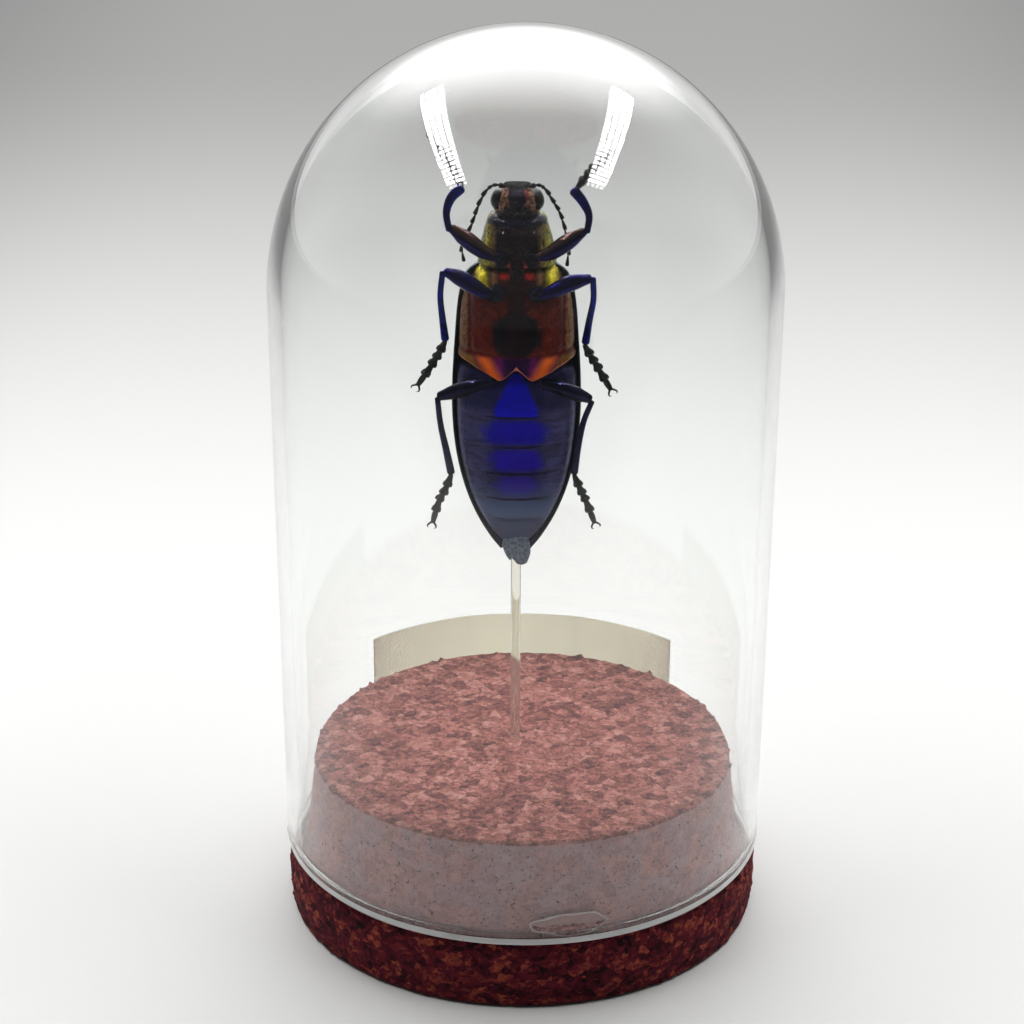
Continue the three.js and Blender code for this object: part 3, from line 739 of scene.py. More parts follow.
def cork_material(case):
    """Stained cork granules: salmon and rose on top, and a deep wine red with rust round the flange, where
    the darker ramp is also painted shade. The plug's side is painted pale pink as a painted reflection of the
    glass's veil.
    """
    shader = Shader("stained_cork")
    size = millimetres(case.cork_granule)
    warped = shader.warped(0.6, 1.4)
    granule = shader.cells(1 / size, (1, 1, 1.3), warped)
    small = shader.cells(2.6 / size, (1, 1, 1.2), warped)
    seam = shader.edges(1 / size, (1, 1, 1.3), warped)
    cloud = shader.noise(0.25, detail=3)
    grain = shader.noise(5.5, detail=6, roughness=0.75)
    pit = shader.noise(2.3, detail=4, roughness=0.7).rise(0.60, 0.66)
    tone = granule * 0.38 + small * 0.34 + cloud * 0.2 + grain * 0.6 - 0.28
    dark, middle, light = (tuple(colour) for colour in (case.cork_dark, case.cork_middle, case.cork_light))
    pale = tuple(min(channel * 1.8 + 0.05, 1) for channel in light)
    top = shader.ramp(tone, (0.12, dark), (0.38, middle), (0.6, light), (0.9, pale))
    # The flange's ramp is the same cork in wine, plum and rust granules, darkened as painted shade on the
    # flange
    wine, plum, rust = (0.090, 0.006, 0.017), (0.15, 0.013, 0.022), (0.40, 0.085, 0.045)
    lower = shader.ramp(tone, (0.16, scaled(dark, 0.06)), (0.4, wine), (0.58, plum), (0.8, rust))
    sparkle = shader.noise(9, detail=2).rise(0.74, 0.8)
    side = shader.z.rise(PLUG_TOP - 0.15, PLUG_TOP - 0.45)
    flange = shader.z.rise(FLANGE_TOP + 0.3, FLANGE_TOP - 0.1)
    # Pale pink on the plug's side: a painted reflection of the glass's veil, laid over the deep wine cork
    side_veil = shader.mix(cloud.rise(0.4, 0.6), (1.0, 0.60, 0.56), (0.88, 0.62, 0.66))
    side_veil_gap = (0.82, 0.43, 0.43)
    base = shader.layers(
        top,
        (side * 0.84, shader.mix((tone * 0.45 + grain).rise(0.45, 0.85), side_veil_gap, side_veil)),
        (flange, lower),
        (seam.rise(0.06, 0.0) * (0.3 - side * 0.25), dark),
        (pit * 0.75, scaled(dark, 0.25)),
        (sparkle * 0.6, (0.90, 0.78, 0.74)),
    )
    height = seam.rise(0, 0.14) * 0.25 + grain * 0.8 + granule * 0.3 + small * 0.2 - pit
    roughness = 0.85 - sparkle * 0.5
    normal = shader.bump(height, 0.4)
    return shader.finish(base_color=base, roughness=roughness, specular_ior_level=0.12, normal=normal)


def make_cork_base(case):
    flange = CORK_HIGH.x - 0.3
    bulge = 0.25
    corner = 0.5
    crisp = 0.2
    side = [
        (flange + bulge * math.sin(math.pi * share), corner + (FLANGE_TOP - 2 * corner) * share)
        for share in steps(0, 1, 16)
    ]
    taper = PLUG_TOP_RADIUS - PLUG_FOOT_RADIUS
    height = PLUG_TOP - crisp - FLANGE_TOP
    plug = [(PLUG_FOOT_RADIUS + taper * share, FLANGE_TOP + height * share) for share in steps(0, 1, 24)]
    profile = (
        [(radius, 0) for radius in steps(0, flange - corner, 10)]
        + side
        + [(flange - corner, FLANGE_TOP), (flange - corner * 2, FLANGE_TOP)]
        + plug
        + [(radius, PLUG_TOP) for radius in steps(PLUG_TOP_RADIUS - crisp, 0, 54)]
    )
    bm = turned_mesh(profile, case.turns * 2)

    def worn(place):
        """Granules stand out and crumbs are missing, more so along the edges. The underside stays flat."""
        if place.z < 0.05:
            return 0
        radius = math.hypot(place.x, place.y)
        seat = FLANGE_TOP - 0.6 < place.z < FLANGE_TOP + 1.5
        edge = hill(place.z, PLUG_TOP, 0.7) * hill(radius, PLUG_TOP_RADIUS, 0.7)
        lower_edge = soft(radius, flange - 1.2, flange) * hill(place.z, FLANGE_TOP, 1.5)
        lumps = noise.noise(place * 0.9) * 0.07 + noise.noise(place * 2.3) * 0.07
        crumbs = max(noise.noise(place * 1.5 + Vector((9, 2, 5))) - 0.28, 0)
        depth = 0.25 if seat and radius < flange - 0.5 else 1
        return (lumps - 0.10 - crumbs * 0.5 - (edge + lower_edge) * (0.05 + crumbs * 1.3)) * depth

    sculpt(bm, worn)
    add_piece("cork_base_granular", bm, [cork_material(case)], ["cork_base"])


# Paper label


def paper_material(case):
    shader = Shader("label_paper")
    fibres = shader.noise(3, detail=6, roughness=0.7)
    cloud = shader.noise(0.12, detail=3)
    edge = shader.z.rise(LABEL_HIGH.z - 0.35, LABEL_HIGH.z)
    colour = tuple(case.paper_colour)
    darker = scaled(colour, 0.94)
    paler = tuple(min(channel * 1.12, 1) for channel in colour)
    base = shader.layers(
        shader.mix(cloud.rise(0.35, 0.65), darker, colour),
        (fibres.rise(0.5, 0.8) * 0.5, paler),
        (edge * 0.6, darker),
    )
    normal = shader.bump(fibres, 0.02)
    return shader.finish(base_color=base, roughness=0.8, transmission_weight=0.92, normal=normal)


def make_paper_label(case):
    """A flat strip curled round against the glass. It stands off a little where it waves."""
    gap = 0.13
    wave = 0.10
    radius = LABEL_HIGH.y - gap
    left = -math.asin(-LABEL_LOW.x / radius)
    right = math.asin(LABEL_HIGH.x / radius)
    bm = bmesh.new()
    bmesh.ops.create_grid(bm, x_segments=72, y_segments=16, size=0.5)
    for vert in bm.verts:
        along, up = vert.co.x + 0.5, vert.co.y + 0.5
        turn = left + (right - left) * along
        inner = radius - wave * math.sin(3 * math.pi * along) ** 2 * up
        height = LABEL_LOW.z + (LABEL_HIGH.z - LABEL_LOW.z) * up
        vert.co = Vector((inner * math.sin(turn), inner * math.cos(turn), height))
    bmesh.ops.solidify(bm, geom=bm.faces[:], thickness=PAPER_THICKNESS)
    add_piece("paper_label_curled", bm, [paper_material(case)], ["paper_label"])


# Clear rod


def acrylic_material(case):
    """Clear acrylic with a slightly milky, cream body."""
    sockets = {"roughness": 0.07, "ior": 1.49, "transmission_weight": 0.94}
    return Shader("clear_acrylic").finish(base_color=tuple(case.rod_tint), **sockets)


def make_clear_rod(case):
    radius = (ROD_HIGH.x - ROD_LOW.x) / 2
    bm = bmesh.new()
    foot = Matrix.Translation((ROD_MIDDLE.x, ROD_MIDDLE.y, ROD_LOW.z))
    made = bmesh.ops.create_circle(bm, cap_ends=True, radius=radius, segments=48, matrix=foot)
    drawn = bmesh.ops.extrude_face_region(bm, geom=list(faces_of(made["verts"])))["geom"]
    verts = [item for item in drawn if isinstance(item, bmesh.types.BMVert)]
    bmesh.ops.translate(bm, verts=verts, vec=(0, 0, ROD_HIGH.z - ROD_LOW.z))
    rims = [edge for edge in bm.edges if abs(edge.verts[0].co.z - edge.verts[1].co.z) < 0.01]
    bevel = {"offset": ROD_BEVEL, "affect": "EDGES", "segments": 2, "profile": 0.5, "material": -1}
    bmesh.ops.bevel(bm, geom=rims, **bevel)
    add_piece("clear_rod_polished", bm, [acrylic_material(case)], ["clear_rod"])


# Glue dabs


def glue_material(middle):
    """Set glue: milky above, and stained by crumbs of cork below its middle height."""
    shader = Shader("set_glue")
    crumbs = shader.noise(1.6, detail=5, roughness=0.7)
    stained = (shader.z + crumbs * 1.6 - 0.8).rise(middle + 0.35, middle - 0.15)
    stain = shader.mix(crumbs.rise(0.4, 0.62), (0.20, 0.022, 0.022), (0.85, 0.34, 0.30))
    base = shader.mix(stained, (0.72, 0.42, 0.40), stain)
    sockets = {"roughness": 0.25, "ior": 1.46, "transmission_weight": 0.2}
    return shader.finish(base_color=base, normal=shader.bump(crumbs, 0.3), **sockets)


# The glue's rim, painted pale as the highlight where the glue meets the glass
def glue_rim_highlight_material():
    return Shader("glue_rim_highlight").finish(base_color=(0.95, 0.80, 0.78), roughness=0.2)


def make_glue_dabs():
    """Set glue, squeezed flat between the plug and the glass, with a pale edge where it meets the glass: the
    edge is painted pale as a highlight.
    """
    for name in ("glue_dab_front", "glue_dab_side"):
        low, high = (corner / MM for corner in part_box(name))
        middle = (low + high) / 2
        turn = math.atan2(middle.y, middle.x)
        half_width = (high - low).xy.length / 2 * 0.97
        half_height = (high.z - low.z) / 2 * 0.97

        def laid(across, out, up):
            """A place on the dab from -1 to 1 across and up, with a wavy outline."""
            spoke = math.atan2(up, across)
            ripple = 0.9 + 0.05 * math.sin(3 * spoke + half_width) + 0.04 * math.sin(7 * spoke + 1)
            angle = turn + across * half_width / GLUE_RADIUS * ripple
            radius = GLUE_RADIUS + out
            height = middle.z + up * half_height * ripple
            return Vector((radius * math.cos(angle), radius * math.sin(angle), height))

        bm = bmesh.new()
        bmesh.ops.create_uvsphere(bm, u_segments=64, v_segments=40, radius=1)
        for vert in bm.verts:
            vert.co = laid(vert.co.x, vert.co.y * GLUE_DEPTH, vert.co.z)
        bead = bmesh.new()
        turns = [math.tau * number / GLUE_BEAD_STEPS for number in range(GLUE_BEAD_STEPS)]
        spots = [laid(math.cos(angle) * 0.97, 0.06, math.sin(angle) * 0.95) for angle in turns]
        for spot, after in zip(spots, spots[1:] + spots[:1]):
            hair(bead, spot, after + (after - spot) * 0.4, GLUE_BEAD, 0.9)
        faces_before = len(bm.faces)
        copy = bpy.data.meshes.new("glue_bead")
        bead.to_mesh(copy)
        bead.free()
        bm.from_mesh(copy)
        bpy.data.meshes.remove(copy)
        bm.faces.ensure_lookup_table()
        second_material(bm.faces[faces_before:])
        add_piece(f"{name}_set", bm, [glue_material(middle.z), glue_rim_highlight_material()], [name])


# Beetle materials


def cuticle(name, clouds, mottles, reach):
    """What the patterned cuticles share: distance from the middle, clouds, mottles and a wobble."""
    shader = Shader(name, BEETLE_PLACE)
    cloud = shader.noise(clouds, detail=5, roughness=0.65)
    mottle = shader.noise(mottles, detail=5, roughness=0.7)
    return shader, abs(shader.x), cloud, mottle, (cloud - 0.5) * reach


def belly_material(beetle):
    shader = Shader("belly_cuticle", BEETLE_PLACE)
    side = abs(shader.x)
    z = shader.z
    cloud = shader.noise(0.7, detail=4)
    lines = shader.noise(0.9, detail=4, stretch=(0.45, 1, 2.0))
    blue, grey = tuple(beetle.belly_blue), tuple(beetle.belly_grey)
    navy = (0.006, 0.006, 0.045)
    wobble = (cloud - 0.5) * 1.6
    spread = (26.3 - z) * 0.46 - z.rise(20.9, 19.8) * 0.5
    triangle = (side - spread + wobble * 0.4).rise(0.4, -0.3) * z.rise(19.75, 20.05)
    flank = side.rise(1.8, 4.4)
    base = shader.layers(
        shader.mix(cloud.rise(0.3, 0.7), navy, scaled(navy, 1.7)),
        (flank * z.rise(21.5, 19.5) * 0.9, grey),
        (lines.rise(0.42, 0.62) * z.rise(21.5, 19.5) * 0.75, scaled(grey, 0.35)),
    )
    for low, high, width, colour, strength in BELLY_PATCHES:
        ends = z.rise(low - 0.1, low + 1.1) * z.rise(high + 0.1, high - 0.9)
        corner = abs(z - (low + high) / 2) * 0.55
        patch = (side + corner - width + wobble * 1.8).rise(1.4, -0.6) * ends
        base = shader.mix(patch * strength, base, colour)
    seams = 0
    bands = 0
    for seam in BELLY_SEAMS:
        bent = z + SEAM_BOW * (1 - (side / 6.5) * (side / 6.5)) - seam
        seams = bent.near(0, 0.14) * (0.15 + side.rise(2.2, 1.2) * 0.75) * z.rise(7.5, 11) + seams
        bands = bent.near(-0.5, 0.8) * side.rise(2.2, 3.4) + bands
    base = shader.layers(
        base,
        (triangle, blue),
        (bands * 0.55, scaled(grey, 0.35)),
        (z.rise(12, 6) * 0.85, (0.090, 0.130, 0.24)),
        (seams, (0.002, 0.002, 0.006)),
    )
    pit = shader.pits(2.6) * side.rise(0.8, 2.5)
    height = pit * -0.5 + lines * 0.5 + shader.noise(8, detail=2) * 0.15
    metallic = 0.9 - flank * 0.2 - z.rise(9, 6) * 0.5
    return shader.shine(base, metallic, 0.30 + flank * 0.10 + cloud * 0.06, 0.04, height, 0.06)


def thorax_material(beetle):
    shader, side, cloud, mottle, wobble = cuticle("thorax_cuticle", 0.9, 2.6, 2.4)
    z = shader.z
    red, orange, gold = (tuple(colour) for colour in (beetle.thorax_red, beetle.glow_highlight_orange, beetle.gold))
    black = (0.008, 0.004, 0.007)
    brown = (0.34, 0.16, 0.065)
    rise_along = (z - 25) * 0.55
    plate = (z + wobble * 0.15).rise(27.5, 26.9)
    oval = shader.math("SQRT", side * side / 9.5 + (z - 29.8) * (z - 29.8) / 9.5)
    middle = (oval + wobble * 0.25).rise(1.15, 0.75) * (1 - plate)
    keel = (side + wobble * 0.3).rise(1.5, 0.7) * (1 - plate)
    # Painted highlight: an orange-red glow streak slanting along each rear lobe of the thorax
    glow = (side - rise_along + wobble * 0.25).near(2.7, 1.5) * plate
    bronze = (side - rise_along + wobble * 0.25).rise(3.5, 4.4) * plate
    magenta = (side + wobble * 0.2).near(2.0, 0.9) * plate
    strips = (side + wobble * 0.1).rise(5.5, 5.9) * z.rise(27.4, 28.1) * z.rise(34.8, 33.8)
    # Painted highlight: a pale line along the raised rear edge of the thorax
    edge = 0
    for (x0, z0), (x1, z1) in zip(THORAX_EDGE[4:], THORAX_EDGE[5:]):
        slope = (z1 - z0) / (x1 - x0)
        line = z - (z0 + (side - x0) * slope)
        on = side.rise(x0 - 0.12, x0 + 0.05) * side.rise(x1 + 0.12, x1 - 0.05)
        edge = line.rise(0.26, 0.08) * on + edge
    shoulder = z.rise(34.7, 35.3)
    spots = (side + wobble * 0.2).near(1.5, 0.9) * (z + wobble * 0.2).near(36.6, 0.6)
    patch = (side + wobble * 0.2).near(4.05, 1.15) * z.rise(34.9, 35.4)
    strip = (side + wobble * 0.2).near(2.6, 0.6) * shoulder
    base = shader.layers(
        shader.mix(mottle.rise(0.3, 0.7), red, scaled(red, 0.5)),
        (cloud.rise(0.5, 0.7) * 0.35, (0.28, 0.05, 0.010)),
        (middle, black),
        (keel * 0.9, (0.014, 0.004, 0.008)),
        (strips, shader.mix(mottle.rise(0.35, 0.65), brown, (0.10, 0.04, 0.02))),
        (plate, (0.026, 0.003, 0.048)),
        (magenta * 0.9, (0.16, 0.010, 0.12)),
        (bronze * 0.95, shader.mix(mottle.rise(0.3, 0.7), (0.36, 0.17, 0.02), (0.16, 0.05, 0.008))),
        (glow, orange),
        (edge * 0.8, (0.75, 0.24, 0.13)),
        (shoulder * 0.85, (0.035, 0.010, 0.012)),
        (strip, brown),
        (spots, (0.90, 0.05, 0.03)),
        (patch, shader.mix(mottle.rise(0.4, 0.65), gold, (0.52, 0.40, 0.015))),
    )
    pit = shader.pits(2.4) * side.rise(0.8, 2.2) * (1 - plate * 0.6)
    height = pit * -0.5 + mottle * 0.7
    metallic = 0.9 - strips * 0.3 - strip * 0.3 - patch * 0.25
    roughness = 0.24 + cloud * 0.14 + strips * 0.3 + (patch + glow) * 0.1
    return shader.shine(base, metallic, roughness, 0.05, height, 0.2)


def neck_material(beetle):
    shader, side, cloud, mottle, wobble = cuticle("neck_cuticle", 1.1, 2.6, 2.2)
    z = shader.z
    green = tuple(beetle.neck_green)
    plum = (0.012, 0.004, 0.010)
    back = shader.y.rise(-0.6, 0.4)
    middle = (side + wobble * 0.5).rise(3.0, 2.2) * (1 - back)
    collar = z.rise(42.1, 42.5) * shader.y.rise(-0.8, -1.4)
    copper = (side + wobble).near(2.6, 1.0) * (1 - back)
    rust = mottle.rise(0.52, 0.68) * middle
    hollow = side.near(1.95, 1.0) * z.near(38.7, 1.9) * (1 - back)
    rib = side.near(0.95, 0.4) * z.rise(39.6, 37.4) * (1 - back)
    pit = shader.pits(2.7, 0.46)
    base = shader.layers(
        shader.mix(cloud.rise(0.35, 0.65), green, scaled(green, 0.4)),
        (copper * 0.7, (0.16, 0.045, 0.03)),
        (middle, plum),
        (rust * 0.35, (0.10, 0.022, 0.012)),
        (hollow, (0.003, 0.003, 0.014)),
        (rib, (0.30, 0.025, 0.02)),
        (collar, (0.006, 0.005, 0.022)),
        (back * 0.8, (0.03, 0.19, 0.13)),
        (pit * (1 - middle * 0.6) * 0.95, (0.012, 0.008, 0.004)),
    )
    height = pit * -1 * (1 - middle * 0.5) + mottle * 0.9
    return shader.shine(base, 0.85, 0.22 + cloud * 0.12, 0.35, height, 0.13)


def face_material(beetle):
    shader, side, cloud, mottle, wobble = cuticle("face_cuticle", 1.3, 3.0, 0.9)
    z = shader.z
    front = shader.y.rise(-0.4, -1.2)
    wedge = (side + wobble * 0.5 - (z - 44) * 0.04).rise(1.05, 0.8) * front
    red = (shader.x + wobble * 0.8).near(0.95, 0.25) * z.rise(45.2, 45.8) * front
    mouth = z.rise(44.9, 44.4) * side.rise(1.7, 1.2) * front
    crown = z.rise(46.2, 46.5)
    pit = shader.pits(4.2, 0.4)
    base = shader.layers(
        shader.mix(mottle.rise(0.35, 0.65), tuple(beetle.cheek_copper), (0.05, 0.022, 0.015)),
        (1 - front, (0.10, 0.09, 0.02)),
        (wedge, (0.008, 0.005, 0.018)),
        (mouth, (0.008, 0.006, 0.013)),
        (red * 0.5, (0.45, 0.04, 0.02)),
        (crown, (0.006, 0.005, 0.006)),
        (pit * 0.7, (0.010, 0.006, 0.005)),
    )
    roughness = 0.30 + cloud * 0.12 + crown * 0.4
    return shader.shine(base, 0.7, roughness, 0.1 - crown * 0.1, pit * -1 + mottle * 0.7, 0.10)


def eye_material():
    shader = Shader("eye_cuticle", BEETLE_PLACE)
    cloud = shader.noise(1.2, detail=3)
    base = shader.mix(cloud.rise(0.4, 0.6), (0.008, 0.009, 0.012), (0.030, 0.030, 0.028))
    return shader.shine(base, 0.8, 0.2, 0, shader.cells(16), 0.004)


def leg_material(name, colour, streak=0.0):
    """Metallic leg cuticle. A streak gives the fore femora their brown-grey upper side."""
    shader = Shader(name, BEETLE_PLACE)
    cloud = shader.noise(1.6, detail=4)
    fine = shader.noise(7, detail=3)
    pit = shader.pits(4.5, 0.36)
    base = shader.layers(
        shader.mix(cloud.rise(0.35, 0.65), colour, scaled(colour, 0.3)),
        (pit * 0.6, (0.003, 0.002, 0.006)),
    )
    if streak:
        upper = (shader.z - (abs(shader.x) - 2.45) * 0.63 + cloud * 0.6).rise(39.15, 39.6) * streak
        base = shader.mix(upper, base, (0.085, 0.045, 0.036))
    return shader.shine(base, 0.95, 0.15 + cloud * 0.1, 0.1, pit * -0.6 + fine * 0.4, 0.03)


def black_material(name, colour, metallic=0.25):
    shader = Shader(name, BEETLE_PLACE)
    cloud = shader.noise(2.4, detail=5)
    base = shader.mix(cloud.rise(0.35, 0.65), colour, scaled(colour, 2.4))
    return shader.shine(base, metallic, 0.4 + cloud * 0.15, 0, shader.noise(6, detail=4), 0.04)


def wing_case_material(beetle):
    shader = Shader("wing_case_cuticle", BEETLE_PLACE)
    side = abs(shader.x)
    cloud = shader.noise(0.35, detail=5)
    blue = tuple(beetle.wing_blue)
    green = (0.012, 0.13, 0.10)
    violet = (0.05, 0.015, 0.17)
    pit = shader.pits(3.6, 0.36)
    base = shader.layers(
        shader.mix(cloud.rise(0.35, 0.65), blue, green),
        (shader.z.rise(14, 4) * 0.7, violet),
        (side.near(0.0, 0.8) * 0.5, green),
        (shader.y.rise(0.2, -0.25), (0.006, 0.008, 0.022)),
        (pit * 0.6, (0.002, 0.008, 0.016)),
    )
    height = pit * -1 + shader.noise(3, detail=4) * 0.35
    return shader.shine(base, 0.88, 0.25 + cloud * 0.12, 0.35, height, 0.06)


def hair_material(name, colour):
    shader = Shader(name, BEETLE_PLACE)
    cloud = shader.noise(1.5, detail=3)
    base = shader.mix(cloud, colour, scaled(colour, 0.5))
    return shader.finish(base_color=base, roughness=0.6)


# Beetle pieces


def make_abdomen(beetle):
    """Overlapping plates: each stands a little over the next one towards the tail."""
    top = 26.2
    plates = (TRUNK[0][0], *BELLY_SEAMS, top)
    sections = []
    for low, high in zip(plates, plates[1:]):
        rise = high - low
        last = high == top
        for share, proud in ((0, 0.03), (0.02, 0.13), (0.12, 0.16), (0.4, 0.08), (0.7, 0.02), (0.97, 0)):
            bow = SEAM_BOW * (1 - share if last else 1) if low > 3 else SEAM_BOW * share
            sections.append(body_section(TRUNK, low + rise * share, proud=proud, bow=bow))
    bm = bmesh.new()
    skin(bm, sections, 56)

    def relief(place):
        """A shallow groove along the first plate's middle, and dents at the sides of each plate."""
        if place.y > -0.4:
            return 0
        push = noise.noise(place * 0.9) * 0.05
        for low, high in zip(plates, plates[1:]):
            middle = (low + high) / 2 - SEAM_BOW * 0.6
            reach = (high - low) * 0.42
            dent = hill(abs(place.x), between(TRUNK, middle)[0] * 0.66, 1.3)
            push -= 0.10 * hill(place.z, middle, reach) * dent
        groove = hill(place.x, 0, 0.5) * soft(place.z, 19.5, 21)
        return push - 0.12 * groove

    sculpt(bm, relief)
    add_cuticle("abdomen_plates", bm, [belly_material(beetle)], "abdomen")


# Dents and swellings, as (push, across, reach across, height, reach in height)
THORAX_DENTS = (
    (-0.14, 3.2, 1.6, 26.2, 1.1),
    (-0.16, 0, 0.35, 30.2, 4.2),
    (0.10, 2.6, 2.2, 30.5, 3.6),
    (0.10, 6.2, 0.5, 31, 3.6),
    (-0.45, 2.45, 1.5, 34.6, 1.4),
    (0.20, 0, 1.2, 34.9, 2.2),
    (0.16, 4.1, 0.9, 36.1, 1.1),
    (-0.3, 1.5, 0.9, 36.6, 0.8),
)
NECK_BACK_DENTS = ((-0.18, 0, 0.7, 40.3, 2.4), (-0.22, 2.6, 0.9, 39.4, 1.2))
NECK_FRONT_DENTS = ((-0.42, 1.7, 1.15, 38.7, 1.4), (-0.16, 2.9, 0.4, 40.6, 2.2))
FACE_DENTS = ((0.16, 1.15, 0.4, 45.8, 1.3), (-0.3, 1.3, 0.35, 46.5, 0.35), (-0.22, 0, 1.2, 45.0, 0.25))


def thorax_edge(x):
    for (x0, z0), (x1, z1) in zip(THORAX_EDGE, THORAX_EDGE[1:]):
        if x0 <= x <= x1:
            return z0 + (z1 - z0) * (x - x0) / (x1 - x0)
    return THORAX_EDGE[0][1]


def make_hind_thorax(beetle):
    """Middle and rear thorax in one: two wide hip plates along the W-shaped edge, and raised sides."""
    top = TRUNK[-1][0]
    sections = []
    rear_lip = ((0, -0.9), (0, -0.1), (0.004, 0), (0.02, 0.02))
    for share, grow in (*rear_lip, *((share, 0) for share in steps(0.05, 1, 30))):
        sections.append(thorax_section(share, top, grow))
    bm = bmesh.new()
    skin(bm, sections, 96)

    def relief(place):
        x, z = abs(place.x), place.z
        if place.y > -0.2:
            return 0
        rear = z - thorax_edge(place.x)
        push = noise.noise(place * 1.1) * 0.05 + dents(THORAX_DENTS, x, z)
        push += 0.10 * hill(rear, 0.25, 0.4)
        push -= 0.22 * hill(z, 27.35 + 0.12 * (x - 3), 0.42) * soft(x, 0.3, 1.2)
        push -= 0.20 * hill(x, 5.45, 0.4) * soft(z, 27.3, 28.3)
        push -= 0.22 * hill(x, 3.25, 0.35) * soft(z, 35, 35.6)
        return push

    sculpt(bm, relief)
    shell_faces = len(bm.faces)
    length = millimetres(beetle.hair_length)
    for number in range(FLANK_HAIRS):
        wobble = jitter(number + 50)
        side = 1 if number % 2 else -1
        turn = side * math.radians(112 + 12 * wobble.x)
        root = body_section(TRUNK, 30.9 + 3 * wobble.y)(turn)
        lie = Vector((side * 0.25, -0.35, -0.9 + 0.3 * wobble.z))
        hair(bm, root, root + lie * length * (0.8 + 0.2 * wobble.z), 0.018)
    bm.faces.ensure_lookup_table()
    second_material(bm.faces[shell_faces:])
    materials = [thorax_material(beetle), hair_material("flank_hair", tuple(beetle.hair_tan))]
    add_cuticle("hind_thorax_shell", bm, materials, "hind_thorax")


def thorax_section(share, top, grow):
    def level(x):
        return thorax_edge(x) * (1 - share) + top * share

    return body_section(TRUNK, 25 * (1 - share) + top * share, grow=grow, proud=THORAX_PROUD, level=level)


def make_prothorax(beetle):
    """Fore body with a pitted collar, and a blunt keel between the fore hips."""
    rings = [(share, 0) for share in steps(0.05, 0.97, 24)]
    bm = barrel(FORE_BODY, [(0, -0.8), (0, -0.15), (0.02, 0), *rings, (1, -0.12), (1, -0.8)], 80)

    def relief(place):
        x, z = abs(place.x), place.z
        push = noise.noise(place * 1.3) * 0.06
        if place.y > 0:
            return push + dents(NECK_BACK_DENTS, x, z)
        push += 0.16 * hill(z, 42.75, 0.55) + dents(NECK_FRONT_DENTS, x, z)
        push -= 0.20 * hill(z, 42.0, 0.45) * soft(3.2 - x, 0, 0.8)
        return push + 0.22 * hill(x, 0, 1.0) * soft(42 - z, 0, 2)

    sculpt(bm, relief)
    keel = (
        (0, -3.35, 41.6, 0.5, 0.2),
        (0, -3.6, 39.4, 0.95, 0.26),
        (0, -3.8, 37.6, 0.85, 0.26),
        (0, -4.0, 36.4, 0.4, 0.16),
    )
    limb(bm, keel, sides=20, rings=14)
    add_cuticle("prothorax_shell", bm, [neck_material(beetle)], "prothorax")


# Jaws, two pairs of feelers and cheeks on one side of the face, each with its sides and rings
FACE_LIMBS = (
    (((1.0, -2.1, 44.8, 0.42, 0.4), (0.85, -2.65, 44.3, 0.4, 0.36), (0.25, -2.95, 43.95, 0.2, 0.2)), 16, 10),
    (((0.9, -1.9, 44.0, 0.16, 0.16), (1.15, -2.5, 43.7, 0.15, 0.15), (0.8, -2.85, 43.45, 0.14, 0.14)), 10, 8),
    (((0.35, -2.1, 43.8, 0.12, 0.12), (0.5, -2.7, 43.5, 0.12, 0.12), (0.35, -2.95, 43.3, 0.1, 0.1)), 10, 8),
    (
        (
            (1.3, -2.15, 46.3, 0.3, 0.3),
            (1.55, -2.45, 45.5, 0.42, 0.4),
            (1.7, -2.3, 44.6, 0.45, 0.45),
            (1.6, -1.9, 43.9, 0.3, 0.3),
        ),
        16,
        12,
    ),
)


def make_head(beetle):
    """Head capsule seen from the face: eyes at the sides, a dark wedge above, jaws below."""
    rings = [(share, 0) for share in steps(0.03, 1, 22)]
    bm = barrel(HEAD, [(0, -0.9), (0, -0.1), *rings, (1, -0.6)], 72)

    def relief(place):
        x, z = abs(place.x), place.z
        push = noise.noise(place * 1.8) * 0.05
        if place.y > -0.3:
            return push
        push -= 0.25 * hill(x, 0, 0.85) * soft(z, 45.2, 46.4)
        push -= 0.25 * hill(x, 0, 1.5) * soft(44.6 - z, 0, 0.5)
        return push + dents(FACE_DENTS, x, z)

    sculpt(bm, relief)
    for side in (-1, 1):
        for points, sides, rings in FACE_LIMBS:
            limb(bm, [(side * x, *rest) for x, *rest in points], sides, rings)
    ball(bm, (0, -2.55, 44.75), (0.72, 0.3, 0.34), 20)
    for side in (-1, 1):
        lean = Matrix.Rotation(math.radians(-14 * side), 4, "Y")
        second_material(faces_of(ball(bm, (side * 2.2, -1.3, 45.15), (0.85, 1.35, 1.22), 36, lean)))
    materials = [face_material(beetle), eye_material()]
    add_cuticle("head_capsule", bm, materials, "head")


def make_antennae():
    """Eleven segments: a stout first one, two short ones, then eight drawn out like saw teeth."""
    material = black_material("antenna_cuticle", (0.004, 0.004, 0.005))
    for name, route in ANTENNAE.items():
        side = -1 if name.endswith("left") else 1
        rows = route_rows(route)
        bm = bmesh.new()
        for number in range(ANTENNA_SEGMENTS):
            low = number / ANTENNA_SEGMENTS
            high = low + 0.93 / ANTENNA_SEGMENTS
            tooth = 0.11 if number >= 3 else 0
            stout = 0.23 - 0.006 * number + (0.08 if number == 0 else 0)
            points = []
            for share, swell in ((0, 0.5), (0.35, 0.8), (0.8, 1.12), (1, 0.95)):
                place = Vector(between(rows, low + (high - low) * share))
                place.x += side * tooth * share * 0.8
                points.append((*place, stout * swell + tooth * share * 0.6, stout * swell * 0.72))
            limb(bm, points, sides=10, rings=6, blunt=0.35)
        add_cuticle(f"{name}_segments", bm, [material], name)


